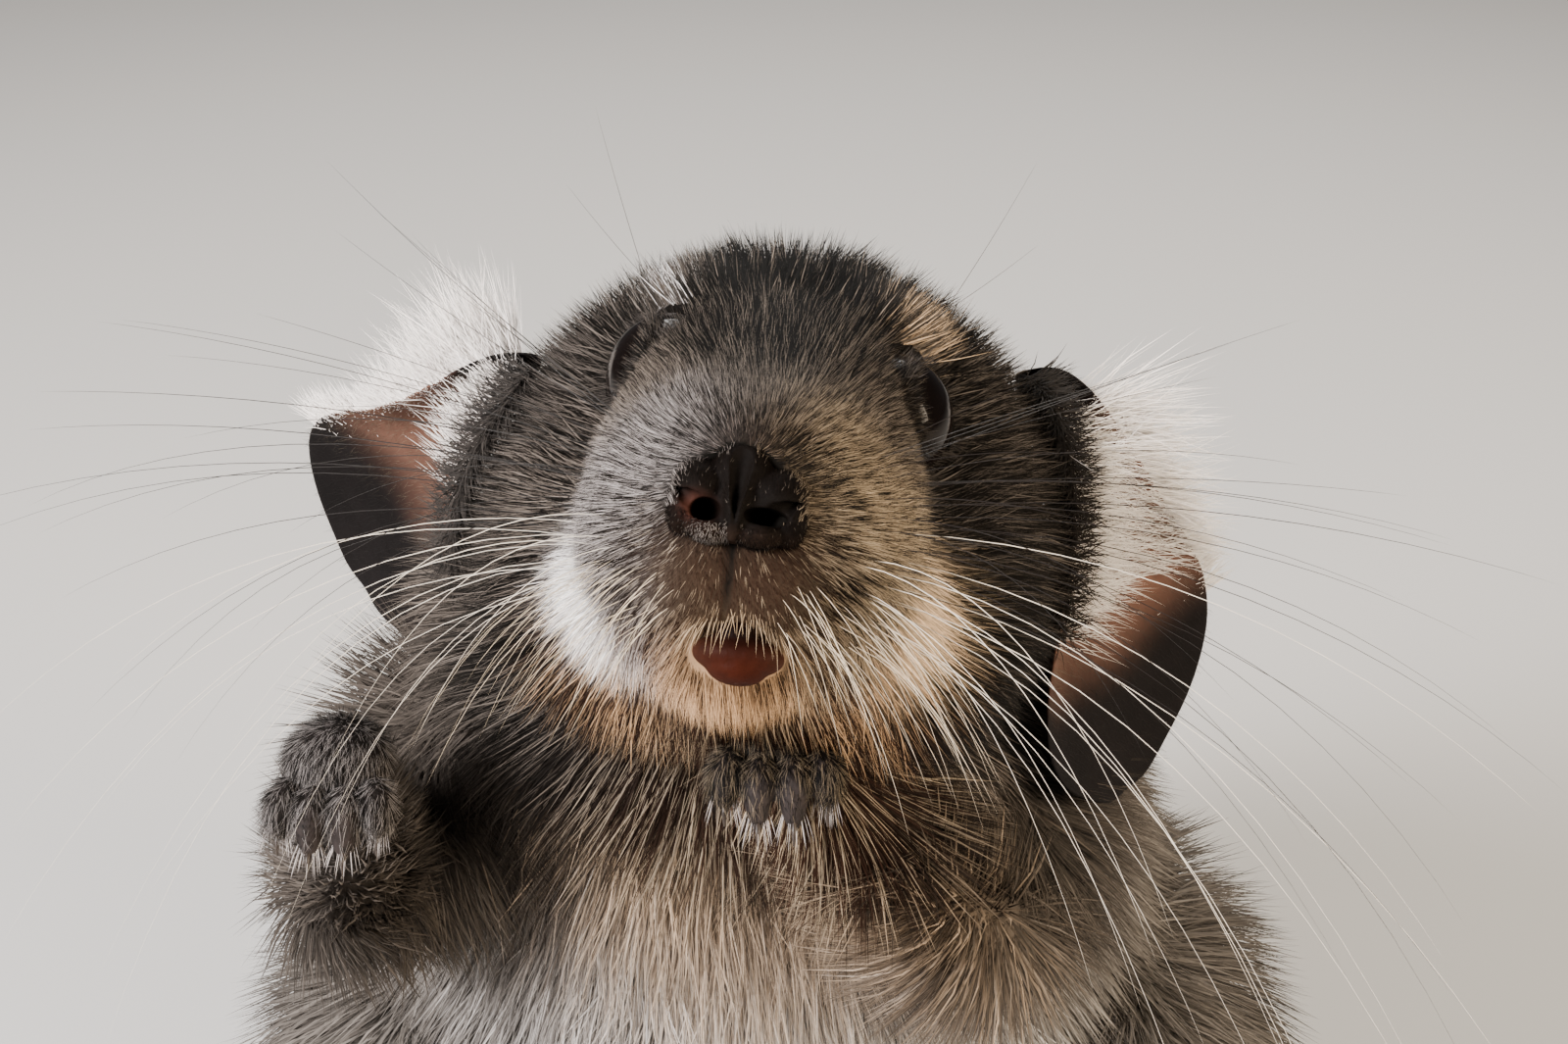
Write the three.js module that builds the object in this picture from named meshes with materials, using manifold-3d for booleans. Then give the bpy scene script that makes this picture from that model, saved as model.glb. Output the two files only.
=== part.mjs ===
// A life-size chinchilla that sits up on its hind feet, head raised, ears drooping and both forepaws held up.
// Millimetres, +Z up, facing -Y. The origin is the centre of the flat that the rump rests on.
// Every surface lies at the tips of the coat, so the solids have the outline of the furred animal.
import * as THREE from "three";
import { mergeVertices } from "three/addons/utils/BufferGeometryUtils.js";
import Module from "manifold-3d";

const wasm = await Module();
wasm.setup();

// Driving dimensions
const GAP = 0.3; // clearance between neighbouring pieces
const HEAD_LENGTH = 68; // nose tip to nape
const NOSE_REACH = 36; // head centre to nose tip
const HEAD_CENTRE = [-0.5, -50, 146];
const HEAD_PITCH = 34; // degrees that the nose is raised
const HEAD_YAW = -2.6; // degrees that the nose is turned, towards -X
const HEAD_ROLL = 8; // degrees that the crown is tipped, towards +X
const BODY_HEIGHT = 134; // floor to the top of the shoulders
const EYE_RADIUS = 5.9;
const EYE_PLACE = [9.8, -10, 10.6]; // left eye, in the head's frame
const EYE_LOOK = [0.9, -0.34, 0.26];
const EAR_LENGTH = 47;
const EAR_SUNK = 6; // how much of it is inside the head's coat
const EAR_SAG = 5; // how far its tip bends back
const EAR_HALF_WIDTH = 14.5;
const EAR_THICKNESS = 1.3;
const FOOT_LENGTH = 60;
const TOE_LINE = -80; // how far forward the hind toes reach
const ROOT_SUNK = 0.12; // share of a lock's length that lies inside what carries it
const SIDES = { left: 1, right: -1 };
const UP = new THREE.Vector3(0, 0, 1);
const ACROSS = new THREE.Vector3(1, 0, 0);

// A smooth value from an evenly spaced row of values, at t from 0 to 1.
function smooth(values, t) {
  const last = values.length - 1;
  const place = Math.min(Math.max(t, 0), 1) * last;
  const i = Math.min(Math.floor(place), last - 1);
  const u = place - i;
  const at = (k) => values[Math.min(Math.max(k, 0), last)];
  const [a, b, c, d] = [at(i - 1), at(i), at(i + 1), at(i + 2)];
  const cubic = -a + 3 * b - 3 * c + d;
  const square = 2 * a - 5 * b + 4 * c - d;
  return b + 0.5 * u * (c - a + u * (square + u * cubic));
}

// A repeatable draw from low to high.
function drawer(seed) {
  let state = seed;
  return (low, high) => {
    state = (Math.imul(state, 1664525) + 1013904223) >>> 0;
    return low + ((high - low) * state) / 4294967296;
  };
}

const vector = (p) => new THREE.Vector3(...p);
const mirrored = (p, side) => [p[0] * side, p[1], p[2]];

// A unit sphere whose points are moved by place(along, around, out): along runs 0 to 1 between the poles.
function formed(sides, rings, place) {
  const geometry = new THREE.SphereGeometry(1, sides, rings);
  const { position, uv } = geometry.attributes;
  const out = new THREE.Vector3();
  for (let i = 0; i < position.count; i++) {
    place(1 - uv.getY(i), 2 * Math.PI * uv.getX(i), out);
    position.setXYZ(i, out.x, out.y, out.z);
  }
  return geometry;
}

function signedVolume(points, faces) {
  const [a, b, c] = [new THREE.Vector3(), new THREE.Vector3(), new THREE.Vector3()];
  let sum = 0;
  for (let i = 0; i < faces.length; i += 3) {
    a.fromArray(points, 3 * faces[i]);
    b.fromArray(points, 3 * faces[i + 1]);
    c.fromArray(points, 3 * faces[i + 2]);
    sum += a.dot(b.cross(c));
  }
  return sum / 6;
}

// A closed geometry as a solid, its surface moved out by swell.
function solid(geometry, swell = 0) {
  const bare = geometry.clone();
  bare.deleteAttribute("normal");
  bare.deleteAttribute("uv");
  const merged = mergeVertices(bare, 1e-4);
  const points = merged.attributes.position.array;
  const faces = merged.index.array;
  if (signedVolume(points, faces) < 0) {
    for (let i = 0; i < faces.length; i += 3) [faces[i + 1], faces[i + 2]] = [faces[i + 2], faces[i + 1]];
  }
  if (swell) {
    merged.computeVertexNormals();
    const normals = merged.attributes.normal.array;
    points.forEach((value, i) => {
      points[i] = value + swell * normals[i];
    });
  }
  return new wasm.Manifold(
    new wasm.Mesh({ numProp: 3, vertProperties: points, triVerts: Uint32Array.from(faces) }),
  );
}

const union = (solids) => solids.reduce((sum, next) => sum.add(next));

// A form with the clearance round it, to cut its neighbours with.
const cleared = (geometry) => union([solid(geometry), solid(geometry, GAP)]);

// The largest closed surface of a solid, which drops scraps and sealed hollows.
function largest(made) {
  return made.decompose().reduce((best, next) => (next.volume() > best.volume() ? next : best));
}

function geometryOf(made) {
  const mesh = made.getMesh();
  const geometry = new THREE.BufferGeometry();
  geometry.setAttribute("position", new THREE.BufferAttribute(mesh.vertProperties, 3));
  geometry.setIndex(new THREE.BufferAttribute(mesh.triVerts, 1));
  return geometry;
}

// The solid of a frame's own geometry, seen from outside that frame.
const placed = (made, matrix) => made.transform(matrix.elements);

// A rounded, tapering form along a smooth path, with evenly spaced half widths and half depths.
function limb({ path, widths, depths = widths, sides = 20, rings = 14 }) {
  const curve = new THREE.CatmullRomCurve3(path.map(vector));
  const [centre, tangent, wide, deep] = [0, 0, 0, 0].map(() => new THREE.Vector3());
  return formed(sides, rings, (along, around, out) => {
    const t = (1 - Math.cos(Math.PI * along)) / 2;
    const cap = Math.sqrt(Math.sin(Math.PI * along));
    curve.getPointAt(t, centre);
    curve.getTangentAt(t, tangent);
    wide.copy(ACROSS).addScaledVector(tangent, -tangent.x).normalize();
    deep.crossVectors(tangent, wide);
    out
      .copy(centre)
      .addScaledVector(wide, Math.cos(around) * cap * smooth(widths, t))
      .addScaledVector(deep, Math.sin(around) * cap * smooth(depths, t));
  });
}

function ellipsoid(centre, radii, sides = 16, rings = 10) {
  return new THREE.SphereGeometry(1, sides, rings).scale(...radii).translate(...centre);
}

// One bent, tapering whisker or flat lock, with its root sunk in what carries it.
function lock({ root, heading, bend, length, width, thickness, sides = 4, rings = 5, floor = -Infinity }) {
  const start = root.clone().addScaledVector(heading, -ROOT_SUNK * length);
  const [tangent, flat, thin] = [0, 0, 0].map(() => new THREE.Vector3());
  return formed(sides, rings, (along, around, out) => {
    const taper = Math.sin(Math.PI * Math.min(along * 0.8 + 0.1, 1)) ** 0.8 * (1 - along ** 3);
    const cap = along === 0 || along === 1 ? 0 : Math.max(taper, 0.12);
    tangent.copy(heading).addScaledVector(bend, 2 * along).normalize();
    flat.crossVectors(tangent, bend).normalize();
    thin.crossVectors(flat, tangent);
    out
      .copy(start)
      .addScaledVector(heading, (1 + ROOT_SUNK) * length * along)
      .addScaledVector(bend, length * along * along)
      .addScaledVector(flat, 0.5 * width * cap * Math.cos(around))
      .addScaledVector(thin, 0.5 * thickness * cap * Math.sin(around));
    out.z = Math.max(out.z, floor + 0.5 * thickness * cap * (1 + Math.sin(around)));
  });
}

// Head profile from the nose tip to the nape, at ten even steps of the angle between them
const HEAD_WIDE = [15.5, 16.6, 17.4, 17, 17.1, 22.2, 28.8, 32, 33, 33, 33];
const HEAD_RISE = [15, 15.2, 16.4, 19.6, 23.4, 26.6, 28.6, 29.2, 29.5, 28, 28];
const HEAD_DROP = [17, 17.8, 19.8, 19.4, 19, 21, 25.2, 27.2, 27.2, 26, 26];
const HEAD_MIDDLE = [2, 2, 0.5, -1, -1, 0, 1, 1, 0, -1, -1];

// Soft swellings and hollows of the face: place on the left side, reach and height
const FACE_RELIEF = {
  whiskerPad: { at: [9.5, -29, -5], reach: 6.5, height: 2 },
  upperLip: { at: [3.6, -34, -8], reach: 3.4, height: 1.2 },
  jowl: { at: [20, -6, -11], reach: 12, height: 5 },
  brow: { at: [10, -8, 19], reach: 6, height: 1.6 },
  eyeHollow: { at: [16, -13, 9], reach: 6, height: -1.2 },
  chin: { at: [1.5, -27, -15], reach: 5, height: 1.4 },
};

function relief(point) {
  let sum = 0;
  for (const { at, reach, height } of Object.values(FACE_RELIEF)) {
    for (const side of Object.values(SIDES)) {
      const squared = (point.x - side * at[0]) ** 2 + (point.y - at[1]) ** 2 + (point.z - at[2]) ** 2;
      sum += height * Math.exp(-squared / reach ** 2);
    }
  }
  return sum;
}

const HEAD_CORE = new THREE.Line3(new THREE.Vector3(0, -24, 0), new THREE.Vector3(0, 16, 1));
const coreReach = new THREE.Vector3();

function headPoint(along, around, out) {
  const t = (1 - Math.cos(Math.PI * along)) / 2;
  const cap = Math.sin(Math.PI * along);
  const boxy = 2 / 2.2; // under 1 squares the cross-section a little
  const level = Math.cos(around);
  const rise = Math.sin(around);
  const tall = rise > 0 ? HEAD_RISE : HEAD_DROP;
  out.set(
    Math.sign(level) * Math.abs(level) ** boxy * cap * smooth(HEAD_WIDE, along),
    HEAD_LENGTH * t - NOSE_REACH,
    smooth(HEAD_MIDDLE, along) + Math.sign(rise) * Math.abs(rise) ** boxy * cap * smooth(tall, along),
  );
  HEAD_CORE.closestPointToPoint(out, true, coreReach);
  coreReach.subVectors(out, coreReach).normalize();
  return out.addScaledVector(coreReach, relief(out));
}

// The head's own frame
const headFrame = new THREE.Group();
headFrame.position.set(...HEAD_CENTRE);
const turn = (axis, degrees) =>
  new THREE.Quaternion().setFromAxisAngle(vector(axis), THREE.MathUtils.degToRad(degrees));
headFrame.quaternion
  .copy(turn([1, 0, 0], -HEAD_PITCH))
  .multiply(turn([0, 0, 1], HEAD_YAW))
  .multiply(turn([0, 1, 0], HEAD_ROLL));
headFrame.updateMatrixWorld(true);

// Eyes and lids
function eye(side, swell = 0) {
  return solid(ellipsoid(mirrored(EYE_PLACE, side), [EYE_RADIUS, EYE_RADIUS, EYE_RADIUS], 16, 12), swell);
}

function lids(side) {
  const rim = 0.9;
  const spread = THREE.MathUtils.degToRad(58);
  const reach = EYE_RADIUS + 0.4 * rim;
  const ring = new THREE.TorusGeometry(reach * Math.sin(spread), rim, 5, 18);
  const look = vector(mirrored(EYE_LOOK, side)).normalize();
  ring.scale(1, 0.86, 1).translate(0, 0, reach * Math.cos(spread));
  ring.applyQuaternion(new THREE.Quaternion().setFromUnitVectors(UP, look));
  return solid(ring.translate(...mirrored(EYE_PLACE, side)));
}

// Nose, mouth and lips
function noseWings() {
  const wing = (side) => ellipsoid([2.4 * side, -34.4, -0.4], [2.7, 2.9, 2.9], 12, 8);
  const ridge = ellipsoid([0, -34, 1.6], [2.6, 2.6, 2.3], 12, 8);
  return [wing(1), wing(-1), ridge].map((form) => solid(form));
}

function nostril(side) {
  const path = [
    [1.4, -38.8, -1.6],
    [1.9, -36.8, -1.3],
    [3.2, -35.9, -0.3],
    [4.6, -34.4, 0.8],
  ];
  return solid(
    limb({ path: path.map((p) => mirrored(p, side)), widths: [1.1, 0.95, 0.8, 0.6], sides: 7, rings: 7 }),
  );
}

const septum = () => solid(ellipsoid([0, -37.6, -2], [0.55, 2.3, 8], 8, 8));
const mouthOpening = () => solid(ellipsoid([0, -31.2, -11.6], [6, 5.5, 1.3], 14, 8));

function mouthLine(side) {
  const path = [
    [4.5, -32.2, -11.4],
    [8.5, -29, -12],
    [11.5, -24.5, -13.8],
  ];
  return solid(
    limb({
      path: path.map((p) => mirrored(p, side)),
      widths: [2, 2, 1.2],
      depths: [0.7, 0.6, 0.4],
      sides: 6,
      rings: 6,
    }),
  );
}

const lowerLip = (swell = 0) => solid(ellipsoid([0, -30, -12.8], [4.2, 3.4, 2], 14, 8), swell);

// Ears: a thin cupped leaf, closed into a funnel at its root
const EAR_WIDE = [4.5, 5, 6.5, 9, 12.5, 15.5, 16.5, 14.5, 9];
const EAR_CUP = [8, 8, 7.5, 6.5, 5.5, 4.5, 3.5, 2.4, 1.2];

// Each ear hangs its own way: where it leaves the head, its tip, and where its hollow side faces
const EARS = {
  left: { root: [26, -34, 149], tip: [41, -42, 109], open: [0.72, -0.68, 0.1] },
  right: { root: [-25.5, -32, 152], tip: [-46, -20, 124], open: [-0.6, -0.76, 0.1] },
};

function earFrame({ root, tip, open }) {
  const frame = new THREE.Group();
  frame.position.set(...root);
  const reach = vector(tip).sub(frame.position).normalize();
  const facing = vector(open);
  facing.addScaledVector(reach, -facing.dot(reach)).normalize();
  const wide = new THREE.Vector3().crossVectors(reach, facing);
  frame.quaternion.setFromRotationMatrix(new THREE.Matrix4().makeBasis(wide, reach, facing));
  frame.updateMatrix();
  return frame;
}

function earShell(swell = 0) {
  return solid(
    formed(20, 12, (along, around, out) => {
      const t = (1 - Math.cos(Math.PI * along)) / 2;
      const cap = Math.sin(Math.PI * along) ** 0.55;
      const half = (cap * smooth(EAR_WIDE, t) * EAR_HALF_WIDTH) / Math.max(...EAR_WIDE);
      const cup = smooth(EAR_CUP, t) * cap;
      const spread = Math.cos(around);
      const edge = Math.sign(Math.sin(around)) * Math.abs(Math.sin(around)) ** 0.6;
      const slope = Math.atan2(2 * cup * spread, half + 1e-6);
      const thick = 0.5 * EAR_THICKNESS * edge * Math.min(1, cap * 1.4);
      out.set(
        half * spread - thick * Math.sin(slope),
        EAR_LENGTH * t - EAR_SUNK,
        cup * spread * spread + thick * Math.cos(slope) - EAR_SAG * t * t,
      );
    }),
    swell,
  );
}

// Whiskers: rows from the highest down, columns from the front back
const WHISKER_ROWS = [
  { around: 0.22, lift: 14 },
  { around: -0.02, lift: -3 },
  { around: -0.26, lift: -21 },
  { around: -0.5, lift: -38 },
];
const WHISKER_COLUMNS = [
  { along: 0.2, sweep: 30, length: 36 },
  { along: 0.235, sweep: 16, length: 48 },
  { along: 0.27, sweep: 4, length: 60 },
  { along: 0.305, sweep: -8, length: 68 },
];

function whiskers(side) {
  const draw = drawer(side > 0 ? 7 : 11);
  const root = new THREE.Vector3();
  return WHISKER_ROWS.flatMap((row) =>
    WHISKER_COLUMNS.map((column) => {
      const around = side > 0 ? row.around : Math.PI - row.around;
      headPoint(column.along, around, root);
      const lift = THREE.MathUtils.degToRad(row.lift + draw(-4, 4));
      const sweep = THREE.MathUtils.degToRad(column.sweep + draw(-5, 5));
      const heading = new THREE.Vector3(
        side * Math.cos(lift) * Math.cos(sweep),
        -Math.cos(lift) * Math.sin(sweep),
        Math.sin(lift),
      );
      const bend = new THREE.Vector3(0, draw(0.02, 0.1), -draw(0.16, 0.26));
      const length = column.length * draw(0.92, 1.06);
      return solid(
        lock({ root: root.clone(), heading, bend, length, width: 0.85, thickness: 0.85, sides: 3, rings: 8 }),
      );
    }),
  );
}

function padRegion(side, swell = 0) {
  return solid(ellipsoid([13.5 * side, -26.5, -5.5], [8.5, 8, 7.5], 14, 9), swell);
}

// Trunk and limbs, left side; path points are [x, y, z]
const torsoForm = () =>
  limb({
    path: [
      [0, 2, -3],
      [0, 6, 22],
      [-1, 3, 52],
      [-2, -8, 82],
      [-3, -21, 108],
      [-4, -28, BODY_HEIGHT],
    ],
    widths: [42, 50, 55, 54, 49, 45, 42],
    depths: [40, 46, 50, 48, 43, 38, 33],
    sides: 28,
    rings: 16,
  });

const neckForm = () =>
  limb({
    path: [
      [-3, -26, 108],
      [-3, -31, 124],
      [-2, -41, 140],
    ],
    widths: [33, 33, 28],
    depths: [26, 29, 25],
    sides: 22,
    rings: 8,
  });

const haunchForm = (side) =>
  limb({
    path: [
      [20, 22, 42],
      [37, 5, 50],
      [44, -20, 44],
      [42, -35, 27],
      [36, -26, 8],
    ].map((p) => mirrored(p, side)),
    widths: [14, 22, 21.5, 16, 10],
    depths: [18, 31, 30, 20, 11],
    sides: 18,
    rings: 12,
  });

const hindFootForm = (side) =>
  limb({
    path: [
      [33, TOE_LINE + FOOT_LENGTH, 7],
      [34, TOE_LINE + 0.6 * FOOT_LENGTH, 5.5],
      [36, TOE_LINE + 0.2 * FOOT_LENGTH, 4],
    ].map((p) => mirrored(p, side)),
    widths: [7, 6.5, 8.5],
    depths: [7.5, 6, 5],
    sides: 12,
    rings: 8,
  });

// Hind toes from the inner one out: place across the foot, and length
const FOOT_MIDDLE = 36;
const HIND_TOES = [
  { offset: -6, reach: 9 },
  { offset: -2, reach: 14 },
  { offset: 2, reach: 14 },
  { offset: 5.6, reach: 11 },
];

function hindToes(side) {
  const start = TOE_LINE + 14;
  return HIND_TOES.map(({ offset, reach }) => {
    const path = [
      [FOOT_MIDDLE + offset, start, 3.4],
      [FOOT_MIDDLE + 1.1 * offset, start - 0.6 * reach, 3.6],
      [FOOT_MIDDLE + 1.2 * offset, start - reach, 2.2],
    ].map((p) => mirrored(p, side));
    return solid(limb({ path, widths: [2.4, 2.5, 2.1], sides: 6, rings: 5 }));
  });
}

// The forelegs differ: the left paw hangs under the chin, the right one is held out to the side
const FORELEGS = {
  left: { shoulder: [21, -24, 106], elbow: [24, -47, 94], wrist: [0.6, -62.5, 134.5] },
  right: { shoulder: [-28, -24, 110], elbow: [-43, -42, 97], wrist: [-39.5, -58, 128] },
};

// The point half way between two, moved forward
const between = (a, b, forward = 0) => [(a[0] + b[0]) / 2, (a[1] + b[1]) / 2 - forward, (a[2] + b[2]) / 2];

const upperArmForm = ({ shoulder, elbow }) =>
  limb({
    path: [shoulder, between(shoulder, elbow), elbow],
    widths: [15, 14, 11],
    depths: [17, 15, 11],
    sides: 16,
    rings: 10,
  });

const forearmForm = ({ elbow, wrist }) =>
  limb({
    path: [elbow, between(elbow, wrist, 3), wrist],
    widths: [10, 7.5, 5],
    depths: [10, 7, 4.4],
    sides: 14,
    rings: 10,
  });

const palmForm = ({ wrist }) =>
  limb({
    path: [
      [wrist[0], wrist[1] + 1.5, wrist[2] - 0.5],
      [wrist[0], wrist[1] - 2.5, wrist[2] + 0.4],
      [wrist[0], wrist[1] - 6, wrist[2] - 0.8],
    ],
    widths: [4.2, 4.8, 4.8],
    depths: [3.6, 3, 2.4],
    sides: 10,
    rings: 6,
  });

const FINGER_OFFSETS = [-3.7, -1.3, 1.3, 3.7];
const FINGER_LENGTH = 7.2;

function fingers({ wrist }) {
  return FINGER_OFFSETS.map((offset) => {
    const reach = FINGER_LENGTH - 0.14 * offset ** 2; // the outer ones are shorter
    const knuckle = [wrist[0] + offset, wrist[1] - 4.8, wrist[2] - 0.6];
    const path = [
      knuckle,
      [knuckle[0] + 0.12 * offset, knuckle[1] - 0.55 * reach, knuckle[2] - 0.1 * reach],
      [knuckle[0] + 0.2 * offset, knuckle[1] - 0.85 * reach, knuckle[2] - 0.62 * reach],
    ];
    return solid(limb({ path, widths: [1.5, 1.6, 1.1], sides: 6, rings: 5 }));
  });
}

// Tail: a core under a coat of long bristly locks that lie back along it
const TAIL_PATH = [
  [0, 38, 18],
  [1, 60, 13],
  [5, 86, 11.5],
  [14, 112, 11.5],
  [28, 134, 12],
  [42, 147, 12.5],
];
const TAIL_CORE = [9, 8, 7.5, 7.5, 7, 6.5, 5]; // radius, from the rump to the tip
const TAIL_COAT = { rings: 6, around: 5, first: 0.2, last: 0.99, length: 34, width: 15, thickness: 3.8 };

const tailCore = () => limb({ path: TAIL_PATH, widths: TAIL_CORE, sides: 10, rings: 10 });

function tailLocks() {
  const draw = drawer(23);
  const curve = new THREE.CatmullRomCurve3(TAIL_PATH.map(vector));
  const made = [];
  for (let ring = 0; ring < TAIL_COAT.rings; ring++) {
    const t = TAIL_COAT.first + ((TAIL_COAT.last - TAIL_COAT.first) * ring) / (TAIL_COAT.rings - 1);
    const centre = curve.getPointAt(t);
    const tangent = curve.getTangentAt(t);
    const side = new THREE.Vector3().crossVectors(tangent, UP).normalize();
    const top = new THREE.Vector3().crossVectors(side, tangent);
    const spread = 25 + 8 * t;
    for (let k = 0; k < TAIL_COAT.around; k++) {
      const angle = (2 * Math.PI * (k + 0.5 * (ring % 2))) / TAIL_COAT.around + draw(-0.12, 0.12);
      const outward = side.clone().multiplyScalar(Math.cos(angle)).addScaledVector(top, Math.sin(angle));
      const lift = THREE.MathUtils.degToRad(spread + draw(-5, 5));
      const heading = tangent.clone().multiplyScalar(Math.cos(lift)).addScaledVector(outward, Math.sin(lift));
      made.push(
        solid(
          lock({
            root: centre.clone().addScaledVector(outward, 5 - 2.5 * t),
            heading,
            bend: outward.clone().multiplyScalar(-0.22).addScaledVector(tangent, 0.1),
            length: TAIL_COAT.length * (0.8 + 0.25 * t) * draw(0.92, 1.08),
            width: TAIL_COAT.width * (1 - 0.25 * t),
            thickness: TAIL_COAT.thickness,
            sides: 4,
            rings: 4,
            floor: 0,
          }),
        ),
      );
    }
  }
  return made;
}

// Everything is cut off level with the floor.
const FLOOR = solid(new THREE.BoxGeometry(800, 800, 100).translate(0, 0, -50));
const grounded = (made) => made.subtract(FLOOR);

// The solids, each cut clear of the ones before it
const model = new THREE.Group();
model.add(headFrame);

const COLOURS = {
  coat: 0x5b595c,
  pale: 0xd8cdbd,
  skin: 0x4a4042,
  eye: 0x070606,
  lip: 0x7c352c,
  tail: 0x3f3d40,
};
const ROUGHNESS = { coat: 0.9, pale: 0.9, skin: 0.6, eye: 0.08, lip: 0.45, tail: 0.92 };

function addNode(parent, name, made, finish) {
  const material = new THREE.MeshStandardMaterial({
    color: COLOURS[finish],
    roughness: ROUGHNESS[finish],
    metalness: 0,
  });
  const mesh = new THREE.Mesh(geometryOf(largest(made)), material);
  mesh.name = name;
  parent.add(mesh);
}

const headOuter = (swell = 0) => solid(formed(36, 26, headPoint), swell);
const headHollow = () => solid(formed(18, 13, headPoint), 1); // coarser, for the hidden seat on the neck
const headMatrix = headFrame.matrixWorld;

function buildHead() {
  const added = [headOuter(), ...noseWings(), lids(1), lids(-1)];
  const removed = [
    eye(1, GAP),
    eye(-1, GAP),
    nostril(1),
    nostril(-1),
    septum(),
    mouthOpening(),
    mouthLine(1),
    mouthLine(-1),
    lowerLip(GAP),
    padRegion(1, GAP),
    padRegion(-1, GAP),
  ];
  return union(added).subtract(union(removed));
}

addNode(headFrame, "head", buildHead(), "coat");
addNode(headFrame, "lower_lip", lowerLip(), "lip");
for (const [name, side] of Object.entries(SIDES)) {
  addNode(headFrame, `eye_${name}`, eye(side), "eye");
  const pad = headOuter().intersect(padRegion(side)).subtract(mouthLine(side));
  addNode(headFrame, `whisker_pad_${name}`, union([pad, ...whiskers(side)]), "coat");
}

const headBlock = placed(headOuter(GAP), headMatrix);
const neckBlock = cleared(neckForm());
const earBlocks = [];
for (const [name, ear] of Object.entries(EARS)) {
  const frame = earFrame(ear);
  earBlocks.push(placed(earShell(GAP), frame.matrix));
  model.add(frame);
  const inEarFrame = frame.matrix.clone().invert();
  addNode(frame, `ear_${name}`, earShell().subtract(placed(headBlock, inEarFrame)), "skin");
}

const forelegBlocks = Object.values(FORELEGS).flatMap((leg) => [
  cleared(upperArmForm(leg)),
  cleared(forearmForm(leg)),
]);
const haunchBlocks = Object.values(SIDES).map((side) => cleared(haunchForm(side)));

const neckCuts = [placed(headHollow(), headMatrix), ...earBlocks, ...forelegBlocks];
addNode(model, "neck", solid(neckForm()).subtract(union(neckCuts)), "coat");
const tailBlock = cleared(tailCore());
const torsoCuts = [neckBlock, headBlock, tailBlock, ...earBlocks, ...forelegBlocks, ...haunchBlocks];
addNode(model, "torso", grounded(solid(torsoForm()).subtract(union(torsoCuts))), "coat");
addNode(model, "tail", grounded(union([solid(tailCore()), ...tailLocks()])), "tail");

for (const [name, side] of Object.entries(SIDES)) {
  const foot = union([solid(hindFootForm(side)), ...hindToes(side)]);
  addNode(model, `hind_foot_${name}`, grounded(foot), "coat");
  const haunch = solid(haunchForm(side)).subtract(cleared(hindFootForm(side)));
  addNode(model, `hind_leg_${name}`, grounded(haunch), "coat");

  const leg = FORELEGS[name];
  const arm = union([solid(upperArmForm(leg)), solid(forearmForm(leg))]);
  const armCuts = union([headBlock, cleared(palmForm(leg)), ...earBlocks]);
  addNode(model, `foreleg_${name}`, arm.subtract(armCuts), "coat");
  const paw = union([solid(palmForm(leg)), ...fingers(leg)]);
  addNode(model, `forepaw_${name}`, paw.subtract(headBlock), "coat");
}

export default model;
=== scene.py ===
"""A life-size chinchilla that sits up with its head raised: skin, coat, eyes, ears, paws and whiskers.

Metres, +Z up, facing -Y. Sizes in the tables below are millimetres; the head's are in its own frame.
"""

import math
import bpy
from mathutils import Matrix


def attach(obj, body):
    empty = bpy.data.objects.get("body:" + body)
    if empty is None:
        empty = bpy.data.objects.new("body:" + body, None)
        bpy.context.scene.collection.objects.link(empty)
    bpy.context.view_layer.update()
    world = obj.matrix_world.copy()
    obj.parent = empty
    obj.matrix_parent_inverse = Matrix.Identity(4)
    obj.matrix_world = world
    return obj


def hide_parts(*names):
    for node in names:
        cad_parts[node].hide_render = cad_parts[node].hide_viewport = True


bl_info = {
    "name": "Chinchilla",
    "version": (1, 0, 0),
    "blender": (4, 5, 0),
    "location": "3D View > Sidebar > Chinchilla",
    "description": "Dresses the chinchilla's solids in skin and coat",
    "category": "Object",
}

import bpy
import numpy as np
from mathutils import Matrix, Vector

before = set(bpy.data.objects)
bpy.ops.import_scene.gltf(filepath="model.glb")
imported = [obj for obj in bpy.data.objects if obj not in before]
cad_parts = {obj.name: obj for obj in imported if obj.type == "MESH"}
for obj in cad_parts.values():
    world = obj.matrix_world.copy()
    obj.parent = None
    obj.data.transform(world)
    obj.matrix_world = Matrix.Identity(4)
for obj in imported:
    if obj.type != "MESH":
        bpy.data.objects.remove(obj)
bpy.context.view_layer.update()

MM = 0.001
FLOOR_GAP = 0.2  # the lowest that a hair or the skin comes to the floor
SIDES = (("left", 1), ("right", -1))
BODY = "root"
MARKING = "marking"  # the colours kept on each mesh

# Head: its frame and its profile at the tips of the coat, from the nose tip to the nape
HEAD_CENTRE = (-0.5, -50, 146)
HEAD_TURN = (-34, -2.6, 8)  # degrees of pitch, yaw and roll
HEAD_LENGTH = 68
NOSE_REACH = 36
HEAD_WIDE = (15.5, 16.6, 17.4, 17, 17.1, 22.2, 28.8, 32, 33, 33, 33)
HEAD_RISE = (15, 15.2, 16.4, 19.6, 23.4, 26.6, 28.6, 29.2, 29.5, 28, 28)
HEAD_DROP = (17, 17.8, 19.8, 19.4, 19, 21, 25.2, 27.2, 27.2, 26, 26)
HEAD_MIDDLE = (2, 2, 0.5, -1, -1, 0, 1, 1, 0, -1, -1)
HEAD_CORE = ((0, -24, 0), (0, 16, 1))
FACE_RELIEF = (  # place on the left side, reach, height
    ((9.5, -29, -5), 6.5, 2),
    ((3.6, -34, -8), 3.4, 1.2),
    ((20, -6, -11), 12, 5),
    ((10, -8, 19), 6, 1.6),
    ((16, -13, 9), 6, -1.2),
    ((1.5, -27, -15), 5, 1.4),
)
EYE_PLACE = (9.8, -10, 10.6)
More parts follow.
